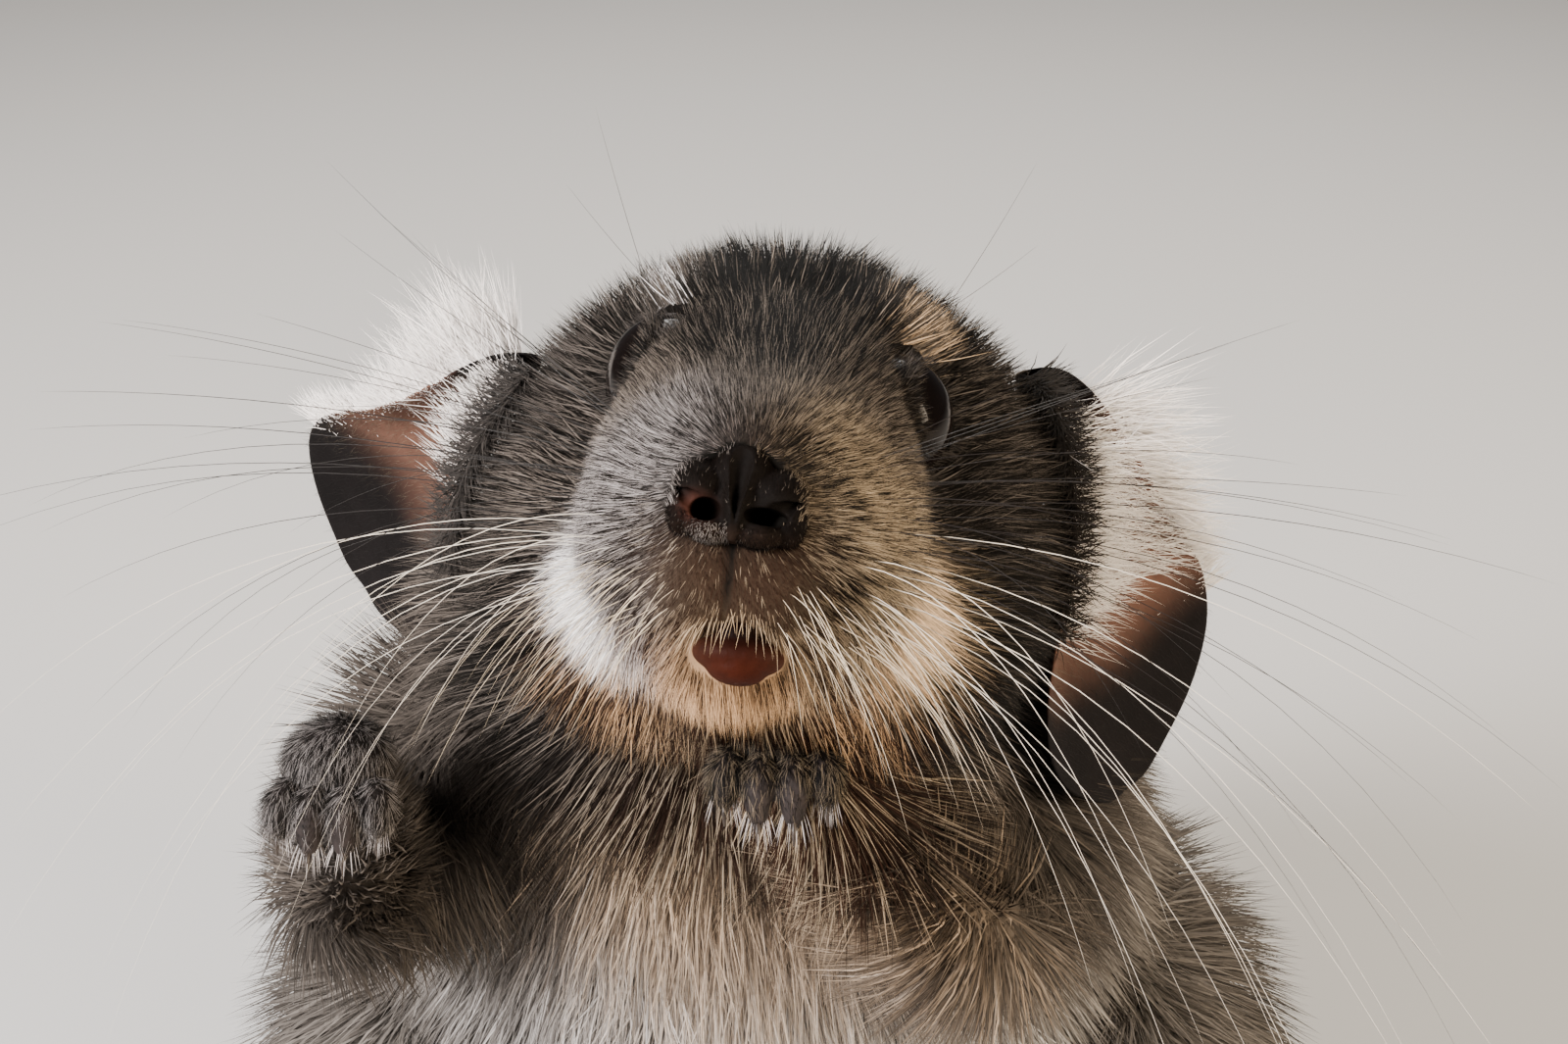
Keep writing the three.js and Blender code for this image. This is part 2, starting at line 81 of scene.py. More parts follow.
EYE_LOOK = (0.9, -0.34, 0.26)
EYE_RADIUS = 5.9
NOSE_POINT = (0, -38, 0)
NOSE_PAD = (0, -34.5, 0)
NOSE_SEAT = (0, -36.5, -0.6)
LOWER_LIP = (1.3, -30.2, -12.1)

# Trunk and limbs: path, half widths and half depths at the tips of the coat
TORSO = (
    ((0, 2, -3), (0, 6, 22), (-1, 3, 52), (-2, -8, 82), (-3, -21, 108), (-4, -28, 134)),
    (42, 50, 55, 54, 49, 45, 42),
    (40, 46, 50, 48, 43, 38, 33),
)
NECK = (((-3, -26, 108), (-3, -31, 124), (-2, -41, 140)), (33, 33, 28), (26, 29, 25))
HAUNCH = (
    ((20, 22, 42), (37, 5, 50), (44, -20, 44), (42, -35, 27), (36, -26, 8)),
    (14, 22, 21.5, 16, 10),
    (18, 31, 30, 20, 11),
)
HIND_FOOT = (((33, -20, 7), (34, -44, 5.5), (36, -68, 4)), (7, 6.5, 8.5), (7.5, 6, 5))
FORELEGS = {
    "left": ((21, -24, 106), (24, -47, 94), (0.6, -62.5, 134.5)),
    "right": ((-28, -24, 110), (-43, -42, 97), (-39.5, -58, 128)),
}
TAIL_CORE = (5, 4.5, 4, 3.6, 3.2, 2.6, 2)
TAIL_PATH = ((0, 38, 18), (1, 60, 13), (5, 86, 11.5), (14, 112, 11.5), (28, 134, 12), (42, 147, 12.5))
EARS = {
    "left": ((26, -34, 149), (41, -42, 109), (0.72, -0.68, 0.1)),
    "right": ((-25.5, -32, 152), (-46, -20, 124), (-0.6, -0.76, 0.1)),
}
EAR_LENGTH = 47
EAR_SUNK = 6  # how much of it is under the coat
EAR_HALF_WIDTH = 14.5
EAR_WIDE = (4.5, 5, 6.5, 9, 12.5, 15.5, 16.5, 14.5, 9)
EAR_CUP = (8, 8, 7.5, 6.5, 5.5, 4.5, 3.5, 2.4, 1.2)

# Voxels of the skins, and how far the trunk's skin lies under its solids
HEAD_VOXELS = (0.45, 0.48)
BODY_VOXEL = 1.3
NOSE_VOXELS = (0.2, 0.15)
LIP_VOXEL = 0.2
PAW_VOXEL = 0.28
FOOT_VOXEL = 0.4
TORSO_INSET = 8.5
NECK_INSET = 5
HAUNCH_INSET = 7
FOOT_INSETS = (1.2, 0.8)

# Numbers of hairs, and hairs for each square millimetre where they are the same all over a piece
EAR_FUZZ = 2.8
NOSE_VELVET = 66
PAW_DENSITY = 34
FOOT_DENSITY = 5
BRISTLES_EACH = 16
LID_HAIRS = 640
EAR_DOWN = 3000
EAR_MARGIN = 1500
LIP_HAIRS = 44
UNDERFUR_SHARE = 0.7
SHORT_HAIR = 4.3  # hairs shorter than this are straight


def unit(rows):
    return rows / np.maximum(np.linalg.norm(rows, axis=-1, keepdims=True), 1e-9)


def smooth(values, t):
    """A smooth value from an evenly spaced row of values or points, at t from 0 to 1."""
    values = np.asarray(values, float)
    last = len(values) - 1
    place = np.clip(t, 0, 1) * last
    i = np.minimum(place.astype(int), last - 1)
    u = place - i
    if values.ndim > 1:
        u = u[:, None]
    a, b, c, d = (values[np.clip(i + k, 0, last)] for k in (-1, 0, 1, 2))
    return b + 0.5 * u * (c - a + u * (2 * a - 5 * b + 4 * c - d + u * (-a + 3 * b - 3 * c + d)))


def head_matrix():
    """From the head's own frame, in millimetres, to the model's, in millimetres."""
    pitch, yaw, roll = (math.radians(a) for a in HEAD_TURN)
    turn = Matrix.Rotation(pitch, 4, "X") @ Matrix.Rotation(yaw, 4, "Z") @ Matrix.Rotation(roll, 4, "Y")
    return np.array(Matrix.Translation(HEAD_CENTRE) @ turn)


HEAD = head_matrix()
HEAD_BACK = np.linalg.inv(HEAD)


def moved(points, matrix):
    return points @ matrix[:3, :3].T + matrix[:3, 3]


# Soft regions of the head and the body: place, reach, then what holds there
# Coat: length, depth of the coat over the skin, width of a hair, hairs for each square millimetre
HEAD_COAT = (
    ((0, -35.8, 3), 3, 0.7, 0.25, 0.08, 60),
    ((6, -34, 0), 3, 1.2, 0.5, 0.09, 58),
    ((4, -33, -8), 4, 1.0, 0.4, 0.07, 22),
    ((0, -27, -15), 5, 3.6, 1.2, 0.1, 24),
    ((5, -32, 7), 6, 1.9, 0.9, 0.1, 56),
    ((10, -29, -3), 6, 2.5, 1.1, 0.1, 48),
    ((13, -20, -10), 6, 5.2, 2.2, 0.13, 20),
    ((0, -20, 16), 8, 3.1, 1.6, 0.11, 40),
    ((12.5, -15, 11), 4.5, 1.2, 0.7, 0.1, 50),
    ((11, -10, 20), 4, 4.1, 1.7, 0.13, 26),
    ((0, 0, 27), 12, 8, 4, 0.15, 12),
    ((22, 0, 12), 9, 6.5, 3.2, 0.15, 12),
    ((22, -3, -3), 8, 6.5, 3.4, 0.15, 12),
    ((14, -8, -17), 8, 8.5, 4, 0.15, 12),
    ((0, -12, -20), 9, 8.5, 4, 0.15, 12),
    ((0, 22, 10), 16, 12, 6, 0.28, 3.4),
    ((0, 18, -18), 14, 12, 6, 0.28, 3.4),
    ((26, 14, -4), 12, 10, 5, 0.24, 4.5),
)
BODY_COAT = (
    ((0, 40, 60), 45, 16, 8.5, 0.42, 1.25),
    ((0, 10, 130), 25, 14, 7.5, 0.36, 1.9),
    ((45, -15, 100), 25, 12.5, 6.5, 0.32, 2.5),
    ((0, -60, 105), 22, 11, 5.5, 0.27, 3.4),
    ((0, -55, 50), 30, 12.5, 6, 0.34, 1.9),
    ((52, -10, 45), 28, 14, 7, 0.4, 1.5),
    ((36, -40, 8), 12, 4.5, 1.4, 0.26, 3),
    ((34, -66, 4), 12, 2.4, 0.8, 0.22, 5),
    ((24, -44, 94), 12, 8, 3, 0.28, 2.6),
    ((12, -56, 118), 9, 5, 2, 0.24, 4),
    ((1, -62, 133), 7, 3, 1.2, 0.18, 8),
    ((43, -42, 97), 12, 8, 3, 0.28, 2.6),
    ((41, -50, 114), 9, 5.5, 2, 0.24, 4),
    ((39.5, -58, 128), 7, 3, 1.2, 0.18, 8),
    ((0, 62, 13), 16, 20, 5, 0.45, 1.4),
    ((12, 108, 12), 24, 25, 5, 0.5, 2),
    ((42, 147, 12.5), 14, 27, 4, 0.45, 3),
)
# Markings: dark hairs, pale hairs, share of pale ones
BLACK = (0.004, 0.0034, 0.0028)
SLATE = (0.011, 0.0092, 0.0077)
ASH = (0.05, 0.043, 0.038)
DUSK = (0.118, 0.098, 0.082)
PEWTER = (0.17, 0.15, 0.132)
TICK = (0.19, 0.155, 0.125)
SILVER = (0.38, 0.345, 0.33)
TAN = (0.36, 0.28, 0.19)
FAWN = (0.6, 0.37, 0.2)
CREAM = (0.72, 0.52, 0.34)
WHITE = (0.93, 0.9, 0.88)
UMBER = (0.027, 0.012, 0.007)
# On the right (+x) the muzzle pads, the lip corners, the white cheek patch and the pale spot over the eye
# take tan and cream where the left takes silver and white: painted warm light from the right.
HEAD_MARKS = (
    ((0, -35.5, 1), 4.4, BLACK, UMBER, 0.12),
    ((0, -33, 8), 4.5, SLATE, DUSK, 0.5),
    ((-6.5, -33, 3.5), 4.2, SLATE, SILVER, 0.36),
    ((7, -32.6, 3.6), 4.2, SLATE, TAN, 0.42),
    ((-11.5, -25, 8), 4.6, BLACK, TICK, 0.42),
    ((11.5, -25, 8), 4.6, BLACK, TICK, 0.32),
    ((-11, -27, 0), 5, SLATE, SILVER, 0.34),
    ((11, -27, 0), 5, SLATE, TAN, 0.44),
    ((-8, -30, -7), 3.6, SLATE, SILVER, 0.34),
    ((8.5, -29.5, -7), 3.6, BLACK, TAN, 0.32),
    ((-3.5, -33, -8), 3.8, UMBER, TAN, 0.06),
    ((3.5, -33, -8), 3.8, UMBER, TAN, 0.04),
    # Chin: its cream is darkened and yellowed to fawn over umber: painted shade under the head.
    ((0, -27, -15), 5, UMBER, FAWN, 0.8),
    ((-12.8, -19.8, -9.4), 3.6, SILVER, WHITE, 0.97),
    ((15, -16.5, -8), 3.6, TAN, CREAM, 0.9),
    ((-7.8, -26.5, -11.5), 2.8, UMBER, SILVER, 0.45),
    ((8.4, -26, -11), 3, UMBER, TAN, 0.4),
    # Throat rows: umber with few pale hairs: painted shade under the chin.
    ((0, -13, -19), 6, UMBER, TAN, 0.22),
    ((-9.5, -14.5, -16.5), 5, UMBER, FAWN, 0.34),
    ((11, -14, -15.5), 5, UMBER, FAWN, 0.34),
    ((0, 0, -22), 8, UMBER, TAN, 0.3),
    # The side of the head behind the right (+x) cheek has fewer pale hairs than the left: painted shade.
    ((-21, -1, -14), 10, BLACK, ASH, 0.25),
    ((21, -5, -13), 9, BLACK, ASH, 0.1),
    ((-19, -11, -1), 6, BLACK, DUSK, 0.38),
    ((19, -9, 2), 6, BLACK, ASH, 0.2),
    ((0, -20, 16), 8, BLACK, TICK, 0.1),
    ((0, -12, 23), 7, BLACK, TICK, 0.04),
    ((0, 2, 27), 10, BLACK, TICK, 0.05),
    ((-22, 2, 13), 8, BLACK, ASH, 0.4),
    ((22, 2, 13), 8, BLACK, ASH, 0.3),
    ((-10.5, -11, 20), 2.4, DUSK, WHITE, 0.45),
    ((12, -10.6, 18.6), 2.4, DUSK, CREAM, 0.45),
    ((-13.5, -14, 12), 3.5, BLACK, SLATE, 0.3),
    ((13.5, -14, 11), 3.5, BLACK, SLATE, 0.3),
    ((0, 20, 5), 18, SLATE, DUSK, 0.4),
)
BODY_MARKS = (
    ((0, 45, 70), 45, SLATE, PEWTER, 0.52),
    ((-40, -32, 116), 14, SLATE, DUSK, 0.6),
    ((36, -34, 118), 14, SLATE, DUSK, 0.45),
    ((-27, -48, 122), 10, BLACK, ASH, 0.15),
    ((24, -50, 120), 10, BLACK, SLATE, 0.5),
    # Throat under the chin: umber with few pale hairs: painted shade under the head.
    ((-2, -60, 118), 12, UMBER, CREAM, 0.35),
    ((0, -62, 98), 16, UMBER, CREAM, 0.6),
    ((0, -60, 60), 26, DUSK, WHITE, 0.8),
    ((-52, 0, 60), 28, SLATE, PEWTER, 0.56),
    ((52, 0, 60), 28, SLATE, PEWTER, 0.56),
    ((36, -45, 8), 12, SLATE, SILVER, 0.5),
    ((-36, -45, 8), 12, SLATE, SILVER, 0.5),
    ((0.6, -62, 133), 8, BLACK, DUSK, 0.3),
    ((-39.5, -58, 128), 9, SLATE, SILVER, 0.35),
    ((-42, -48, 106), 12, SLATE, DUSK, 0.5),
    ((12, -56, 118), 9, SLATE, DUSK, 0.4),
    ((24, -46, 95), 12, SLATE, DUSK, 0.45),
    ((0, 5, 5), 22, SLATE, DUSK, 0.5),
    ((1, 64, 14), 20, SLATE, DUSK, 0.4),
    ((14, 112, 12), 26, BLACK, DUSK, 0.35),
    ((42, 147, 12.5), 16, BLACK, ASH, 0.3),
)


FAINT = 1e-9  # what is left of a region far away


def soft(points, regions, column, mirror):
    """The value of a column of a table of soft regions, at each point."""
    total = np.zeros(len(points))
    value = 0
    near = points * (1, 1, 1)
    if mirror:
        near[:, 0] = np.abs(near[:, 0])
    for region in regions:
        away = ((near - np.array(region[0], float)) ** 2).sum(1)
        weight = np.exp(-away / region[1] ** 2) + FAINT / (1 + away)
        total = total + weight
        held = np.asarray(region[column], float)
        value = value + (weight[:, None] * held if held.ndim else weight * held)
    return value / (total[:, None] if np.ndim(value) > 1 else total)


def head_share(points):
    """1 on the head and 0 on the body, for points of the model in millimetres."""
    local = moved(points, HEAD_BACK)
    out = np.sqrt((local[:, 0] / 36) ** 2 + ((local[:, 1] + 8) / 44) ** 2 + (local[:, 2] / 33) ** 2)
    return np.clip((1.12 - out) / 0.24, 0, 1)


def over_all(points, head_table, body_table, column, mirror=True):
    """A soft value over the head and the body together."""
    share = head_share(points)
    on_head = soft(moved(points, HEAD_BACK), head_table, column, mirror)
    on_body = soft(points, body_table, column, mirror)
    if on_head.ndim > 1:
        share = share[:, None]
    return share * on_head + (1 - share) * on_body


def markings(points):
    """The dark tone, the pale tone and the share of pale hairs at each point."""
    return [over_all(points, HEAD_MARKS, BODY_MARKS, column, False) for column in (2, 3, 4)]


def waves(points, size, seed):
    """A smooth, repeatable wander of three numbers about 0, for points in millimetres."""
    draw = np.random.default_rng(seed)
    made = np.zeros((len(points), 3))
    for _ in range(5):
        way = draw.normal(size=(3, 3)) / size
        made += np.sin(points @ way.T + draw.uniform(0, 2 * math.pi, 3))
    return made / 2.2


# Mesh helpers
def only(obj):
    bpy.ops.object.select_all(action="DESELECT")
    obj.hide_set(False)
    obj.select_set(True)
    bpy.context.view_layer.objects.active = obj


def rows_of(items, what, width, kind=np.float32):
    """One property of a mesh's items, with a row for each."""
    flat = np.empty(width * len(items), kind)
    items.foreach_get(what, flat)
    return flat.reshape(-1, width)


def coordinates(obj):
    return rows_of(obj.data.vertices, "co", 3).astype(float)


def place_points(obj, points):
    obj.data.vertices.foreach_set("co", np.asarray(points, np.float32).ravel())
    obj.data.update()


def signed_volume(obj):
    """Positive where the faces point outwards."""
    obj.data.calc_loop_triangles()
    corners = rows_of(obj.data.loop_triangles, "vertices", 3, np.int32)
    a, b, c = coordinates(obj)[corners].transpose(1, 0, 2)
    return (a * np.cross(b, c)).sum()


def formed(name, sides, rings, place):
    """A sphere whose points are moved by place(along, around), which gives millimetres."""
    bpy.ops.object.select_all(action="DESELECT")
    bpy.ops.mesh.primitive_uv_sphere_add(segments=sides, ring_count=rings, radius=1)
    obj = bpy.context.active_object
    obj.name = name
    ball = coordinates(obj)
    along = np.arccos(np.clip(-ball[:, 2], -1, 1)) / math.pi
    around = np.arctan2(ball[:, 1], ball[:, 0])
    place_points(obj, place(along, around) * MM)
    if signed_volume(obj) < 0:
        obj.data.flip_normals()
    return obj


def ellipsoid(name, centre, radii, matrix=None, sides=32, rings=20):
    def place(along, around):
        ring = np.sin(math.pi * along)
        ball = np.stack([np.cos(around) * ring, np.sin(around) * ring, -np.cos(math.pi * along)], 1)
        points = np.array(centre, float) + ball * radii
        return points if matrix is None else moved(points, matrix)

    return formed(name, sides, rings, place)


def travelled(path, t):
    """Points and directions at shares t of the length of a smooth path."""
    fine = smooth(path, np.linspace(0, 1, 400))
    run = np.concatenate([[0], np.cumsum(np.linalg.norm(np.diff(fine, axis=0), axis=1))])
    run = run / run[-1]
    points = np.stack([np.interp(t, run, fine[:, k]) for k in range(3)], 1)
    ahead = np.stack([np.interp(np.clip(t + 0.01, 0, 1), run, fine[:, k]) for k in range(3)], 1)
    behind = np.stack([np.interp(np.clip(t - 0.01, 0, 1), run, fine[:, k]) for k in range(3)], 1)
    return points, unit(ahead - behind)


def limb(name, path, widths, depths, inset=0, matrix=None, sides=40, rings=40):
    """A rounded, tapering form along a smooth path, less the depth of the coat."""

    def place(along, around):
        t = (1 - np.cos(math.pi * along)) / 2
        cap = np.sqrt(np.sin(math.pi * along))[:, None]
        centre, tangent = travelled(path, t)
        wide = unit(np.array([1.0, 0, 0]) - tangent * tangent[:, :1])
        deep = np.cross(tangent, wide)
        half_wide = np.maximum(smooth(widths, t) - inset, 0.1)[:, None]
        half_deep = np.maximum(smooth(depths, t) - inset, 0.1)[:, None]
        points = centre + wide * np.cos(around)[:, None] * cap * half_wide
        points = points + deep * np.sin(around)[:, None] * cap * half_deep
        return points if matrix is None else moved(points, matrix)

    return formed(name, sides, rings, place)


def head_point(along, around, deep=0):
    """The head's surface in its own frame, deep under the tips of the coat."""
    t = (1 - np.cos(math.pi * along)) / 2
    cap = np.sin(math.pi * along)
    boxy = 2 / 2.2
    level, rise = np.cos(around), np.sin(around)
    tall = np.where(rise > 0, smooth(HEAD_RISE, along), smooth(HEAD_DROP, along))
    x = np.sign(level) * np.abs(level) ** boxy * cap * smooth(HEAD_WIDE, along)
    y = HEAD_LENGTH * t - NOSE_REACH
    z = smooth(HEAD_MIDDLE, along) + np.sign(rise) * np.abs(rise) ** boxy * cap * tall
    points = np.stack([x, y, z], 1)
    start, end = np.array(HEAD_CORE, float)
    share = np.clip(((points - start) @ (end - start)) / ((end - start) ** 2).sum(), 0, 1)
    outward = unit(points - (start + share[:, None] * (end - start)))
    height = np.zeros(len(points))
    for place, reach, rise_by in FACE_RELIEF:
        for _, side in SIDES:
            away = ((points - np.array(place) * (side, 1, 1)) ** 2).sum(1)
            height += rise_by * np.exp(-away / reach**2)
    return points + outward * (height - deep * soft(points, HEAD_COAT, 3, True))[:, None]


def remeshed(obj, voxel, smoothing):
    """Fuses what lies in one object into one even skin, and keeps its largest surface."""
    only(obj)
    remesh = obj.modifiers.new("fuse", "REMESH")
    remesh.mode = "VOXEL"
    remesh.voxel_size = voxel * MM
    remesh.use_smooth_shade = True
    bpy.ops.object.modifier_apply(modifier="fuse")
    keep_largest(obj)
    if smoothing:
        soften = obj.modifiers.new("soften", "SMOOTH")
        soften.factor = 0.5
        soften.iterations = smoothing
        bpy.ops.object.modifier_apply(modifier="soften")
    bpy.ops.object.shade_smooth()
    return obj


def keep_largest(obj):
    """Keeps the surface that has most points."""
    count = len(obj.data.vertices)
    a, b = rows_of(obj.data.edges, "vertices", 2, np.int32).T
    label = np.arange(count)
    while True:
        low = np.minimum(label[a], label[b])
        before = label.copy()
        np.minimum.at(label, a, low)
        np.minimum.at(label, b, low)
        label = label[label]
        if (label == before).all():
            break
    names, sizes = np.unique(label, return_counts=True)
    if len(names) == 1:
        return
    loose = label != names[sizes.argmax()]
    obj.data.vertices.foreach_set("select", loose)
    only(obj)
    bpy.ops.object.mode_set(mode="EDIT")
    bpy.ops.mesh.select_mode(type="VERT")
    bpy.ops.object.mode_set(mode="OBJECT")
    obj.data.vertices.foreach_set("select", loose)
    bpy.ops.object.mode_set(mode="EDIT")
    bpy.ops.mesh.delete(type="VERT")
    bpy.ops.object.mode_set(mode="OBJECT")


def joined(name, objects):
    bpy.ops.object.select_all(action="DESELECT")
    for obj in objects:
        obj.select_set(True)
    bpy.context.view_layer.objects.active = objects[0]
    if len(objects) > 1:
        bpy.ops.object.join()
    made = bpy.context.view_layer.objects.active
    made.name = name
    made.data.name = name
    return made


def unwrapped(obj):
    only(obj)
    bpy.ops.object.mode_set(mode="EDIT")
    bpy.ops.mesh.select_all(action="SELECT")
    bpy.ops.uv.smart_project(angle_limit=math.radians(66), island_margin=0.002)
    bpy.ops.object.mode_set(mode="OBJECT")
    return obj


def smoothed(obj):
    only(obj)
    bpy.ops.object.shade_smooth()
    return obj


def mirrored(side):
    """From the left side to the side itself."""
    return np.array(Matrix.Diagonal((side, 1, 1, 1)))


def placed(point, matrix=HEAD):
    """One point of the head's frame, or of another one, in the model's."""
    return moved(np.array([point], float), matrix)[0]


def turned(vector):
    """A direction of the head's frame in the model's frame."""
    return HEAD[:3, :3] @ np.array(vector, float)


def inside(points, centre, radii):
    """Whether each point lies in an ellipsoid."""
    return (((points - centre) / radii) ** 2).sum(1) < 1


def cut(obj, tools):
    """Takes the tools' forms out of an object."""
    for tool in tools:
        only(obj)
        hollow = obj.modifiers.new("hollow", "BOOLEAN")
        hollow.operation = "DIFFERENCE"
        hollow.solver = "EXACT"
        hollow.object = tool
        bpy.ops.object.modifier_apply(modifier="hollow")
        bpy.data.objects.remove(tool)
    return obj


def finished(obj, material, nodes=()):
    obj.data.materials.clear()
    obj.data.materials.append(material)
    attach(obj, BODY)
    if nodes:
        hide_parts(*nodes)
    return obj


def give_colour(obj, rows):
    attribute = obj.data.color_attributes.new(MARKING, "FLOAT_COLOR", "POINT")
    full = np.ones((len(rows), 4), np.float32)
    full[:, :3] = rows
    attribute.data.foreach_set("color", full.ravel())


# Materials
def material(name, roughness, specular=0.5):
    made = bpy.data.materials.new(name)
    made.use_nodes = True
    shader = made.node_tree.nodes["Principled BSDF"]
    shader.inputs["Roughness"].default_value = roughness
    shader.inputs["Specular IOR Level"].default_value = specular
    return made, made.node_tree, shader


def node(tree, kind, **values):
    made = tree.nodes.new(kind)
    for key, value in values.items():
        if key in made.inputs:
            made.inputs[key].default_value = value
        else:
            setattr(made, key, value)
    return made


def grained(tree, scale, detail):
    """A noise laid on the piece's own coordinates."""
    place = node(tree, "ShaderNodeTexCoord")
    noise = node(tree, "ShaderNodeTexNoise", Scale=float(scale), Detail=float(detail))
    tree.links.new(place.outputs["Object"], noise.inputs["Vector"])
    return noise


def relieved(tree, shader, noise, strength, depth):
    relief = node(tree, "ShaderNodeBump", Strength=strength, Distance=depth * MM)
    tree.links.new(noise.outputs["Fac"], relief.inputs["Height"])
    tree.links.new(relief.outputs["Normal"], shader.inputs["Normal"])


def marked_material(name, roughness, specular, grain, depth=0):
    """A finish whose colour is the marking kept on the mesh, with a fine grain over it."""
    made, tree, shader = material(name, roughness, specular)
    marking = node(tree, "ShaderNodeAttribute", attribute_name=MARKING)
    noise = grained(tree, grain, 4)
    shade = node(tree, "ShaderNodeMapRange")
    shade.inputs["To Min"].default_value = 0.72
    shade.inputs["To Max"].default_value = 1.28
    mix = node(tree, "ShaderNodeMix", data_type="RGBA", blend_type="MULTIPLY")
    mix.inputs["Factor"].default_value = 1.0
    tree.links.new(noise.outputs["Fac"], shade.inputs["Value"])
    tree.links.new(marking.outputs["Color"], mix.inputs["A"])
    tree.links.new(shade.outputs["Result"], mix.inputs["B"])
    tree.links.new(mix.outputs["Result"], shader.inputs["Base Color"])
    if depth:
        relieved(tree, shader, noise, 0.5, depth)
    return made


def mottled_material(name, roughness, specular, grain, low, high, depth=0):
    """A finish that a noise takes from one tone to another."""
    made, tree, shader = material(name, roughness, specular)
    noise = grained(tree, grain, 5 if depth else 3)
    ramp = node(tree, "ShaderNodeValToRGB")
    for stop, tone in zip(ramp.color_ramp.elements, (low, high)):
        stop.color = (*tone, 1)
    tree.links.new(noise.outputs["Fac"], ramp.inputs["Fac"])
    tree.links.new(ramp.outputs["Color"], shader.inputs["Base Color"])
    if depth:
        relieved(tree, shader, noise, 0.6, depth)
    return made


# Strands
def scattered(obj, density_at, seed):
    """Roots on a mesh, density_at for each square millimetre, with normals and places on its unwrap."""
    mesh = obj.data
    mesh.calc_loop_triangles()
    count = len(mesh.loop_triangles)
    corners = rows_of(mesh.loop_triangles, "vertices", 3, np.int32)
    loops = rows_of(mesh.loop_triangles, "loops", 3, np.int32)
    points = coordinates(obj) / MM
    normals = rows_of(mesh.vertices, "normal", 3).astype(float)
    unwrap = rows_of(mesh.uv_layers[0].data, "uv", 2)
    a, b, c = (points[corners[:, k]] for k in range(3))
    area = 0.5 * np.linalg.norm(np.cross(b - a, c - a), axis=1)
    centre = (a + b + c) / 3
    draw = np.random.default_rng(seed)
    wanted = area * density_at(centre, unit(np.cross(b - a, c - a)))
    number = np.floor(wanted + draw.uniform(size=count)).astype(int)
    chosen = np.repeat(np.arange(count), number)
    u, v = draw.uniform(size=(2, len(chosen)))
    flip = u + v > 1
    u, v = np.where(flip, 1 - u, u), np.where(flip, 1 - v, v)
    shares = np.stack([1 - u - v, u, v], 1)[:, :, None]
    roots = (points[corners[chosen]] * shares).sum(1)
    outward = unit((normals[corners[chosen]] * shares).sum(1))
    places = (unwrap[loops[chosen]] * shares).sum(1)
    return roots, outward, places, draw


PATCH = 0.003  # across a hair's place on the unwrap
MOST_FACES = 190000
SOFTNESS = 0.65  # how far a hair is shaded as the coat's surface and not as a rod


def strands(
    name, roots, outward, heading, bend, length, width, places, tones, stations, finish, slot, nodes=()
):
    """Closed, tapering, bent hairs. Tones are the colours at the root, the middle and the tip."""
    stations = np.array(stations, float)
    rings = len(stations) - 1
    side = unit(np.cross(heading, bend) + 1e-6)
    flat = unit(np.cross(heading, side))
    corner = 2 * math.pi * np.arange(3) / 3
    count = len(roots)
    faces_each = 6 * (rings - 1) + 3 + 1
    share = max(1, MOST_FACES // faces_each)
    points_each = 3 * rings + 1
    for part, first in enumerate(range(0, count, share)):
        pick = slice(first, min(first + share, count))
        number = pick.stop - pick.start
        points = np.empty((number, points_each, 3))
        colours = np.empty((number, points_each, 3))
        shading = np.empty((number, points_each, 3))
        for k, t in enumerate(stations):
            spine = roots[pick] + length[pick, None] * (heading[pick] * t + bend[pick] * t * t)
            low = np.clip(2 * t, 0, 1)
            high = np.clip(2 * t - 1, 0, 1)
            tone = tones[0][pick] * (1 - low) + tones[1][pick] * (low - high) + tones[2][pick] * high
            if k == rings:
                points[:, -1] = spine
                colours[:, -1] = tone
                shading[:, -1] = outward[pick]
                continue
            radius = 0.5 * width[pick, None] * (1 - 0.75 * t**2) * (0.7 + 0.3 * min(1, 4 * t))
            for j in range(3):
                ring = side[pick] * math.cos(corner[j]) + flat[pick] * math.sin(corner[j])
                points[:, 3 * k + j] = spine + radius * ring
                colours[:, 3 * k + j] = tone
                shading[:, 3 * k + j] = SOFTNESS * outward[pick] + (1 - SOFTNESS) * ring
        points[:, :, 2] = np.maximum(points[:, :, 2], FLOOR_GAP)
        pattern = [(0, 2, 1)]
        for k in range(rings - 1):
            for j in range(3):
                here, there = 3 * k + j, 3 * k + (j + 1) % 3
                pattern += [(here, there, there + 3), (here, there + 3, here + 3)]
        top = 3 * (rings - 1)
        pattern += [(top + j, top + (j + 1) % 3, top + 3) for j in range(3)]
        pattern = np.array(pattern)
        faces = (pattern[None] + points_each * np.arange(number)[:, None, None]).reshape(-1, 3)
        mesh = bpy.data.meshes.new(f"{name}_{part + 1}")
        mesh.vertices.add(number * points_each)
        mesh.vertices.foreach_set("co", (points * MM).astype(np.float32).ravel())
        mesh.loops.add(faces.size)
        mesh.loops.foreach_set("vertex_index", faces.astype(np.int32).ravel())
        mesh.polygons.add(len(faces))
        mesh.polygons.foreach_set("loop_start", np.arange(0, faces.size, 3, dtype=np.int32))
        mesh.polygons.foreach_set("use_smooth", np.ones(len(faces), bool))
        mesh.update(calc_edges=True)
        along = np.append(np.repeat(stations[:-1], 3), 1.0)
        across = np.append(np.tile([0, 0.5, 1], rings), 0.5)
        patch = np.stack([across, along], 1) - 0.5
        spots = places[pick][:, None, :] + PATCH * patch[None]
        layer = mesh.uv_layers.new(name="OFBake")
        layer.data.foreach_set("uv", spots.reshape(-1, 2)[faces.ravel()].astype(np.float32).ravel())
        mesh.normals_split_custom_set_from_vertices(unit(shading.reshape(-1, 3)))
        obj = bpy.data.objects.new(f"{name}_{part + 1}", mesh)
        bpy.context.scene.collection.objects.link(obj)
        give_colour(obj, colours.reshape(-1, 3))
        finished(obj, finish, nodes)


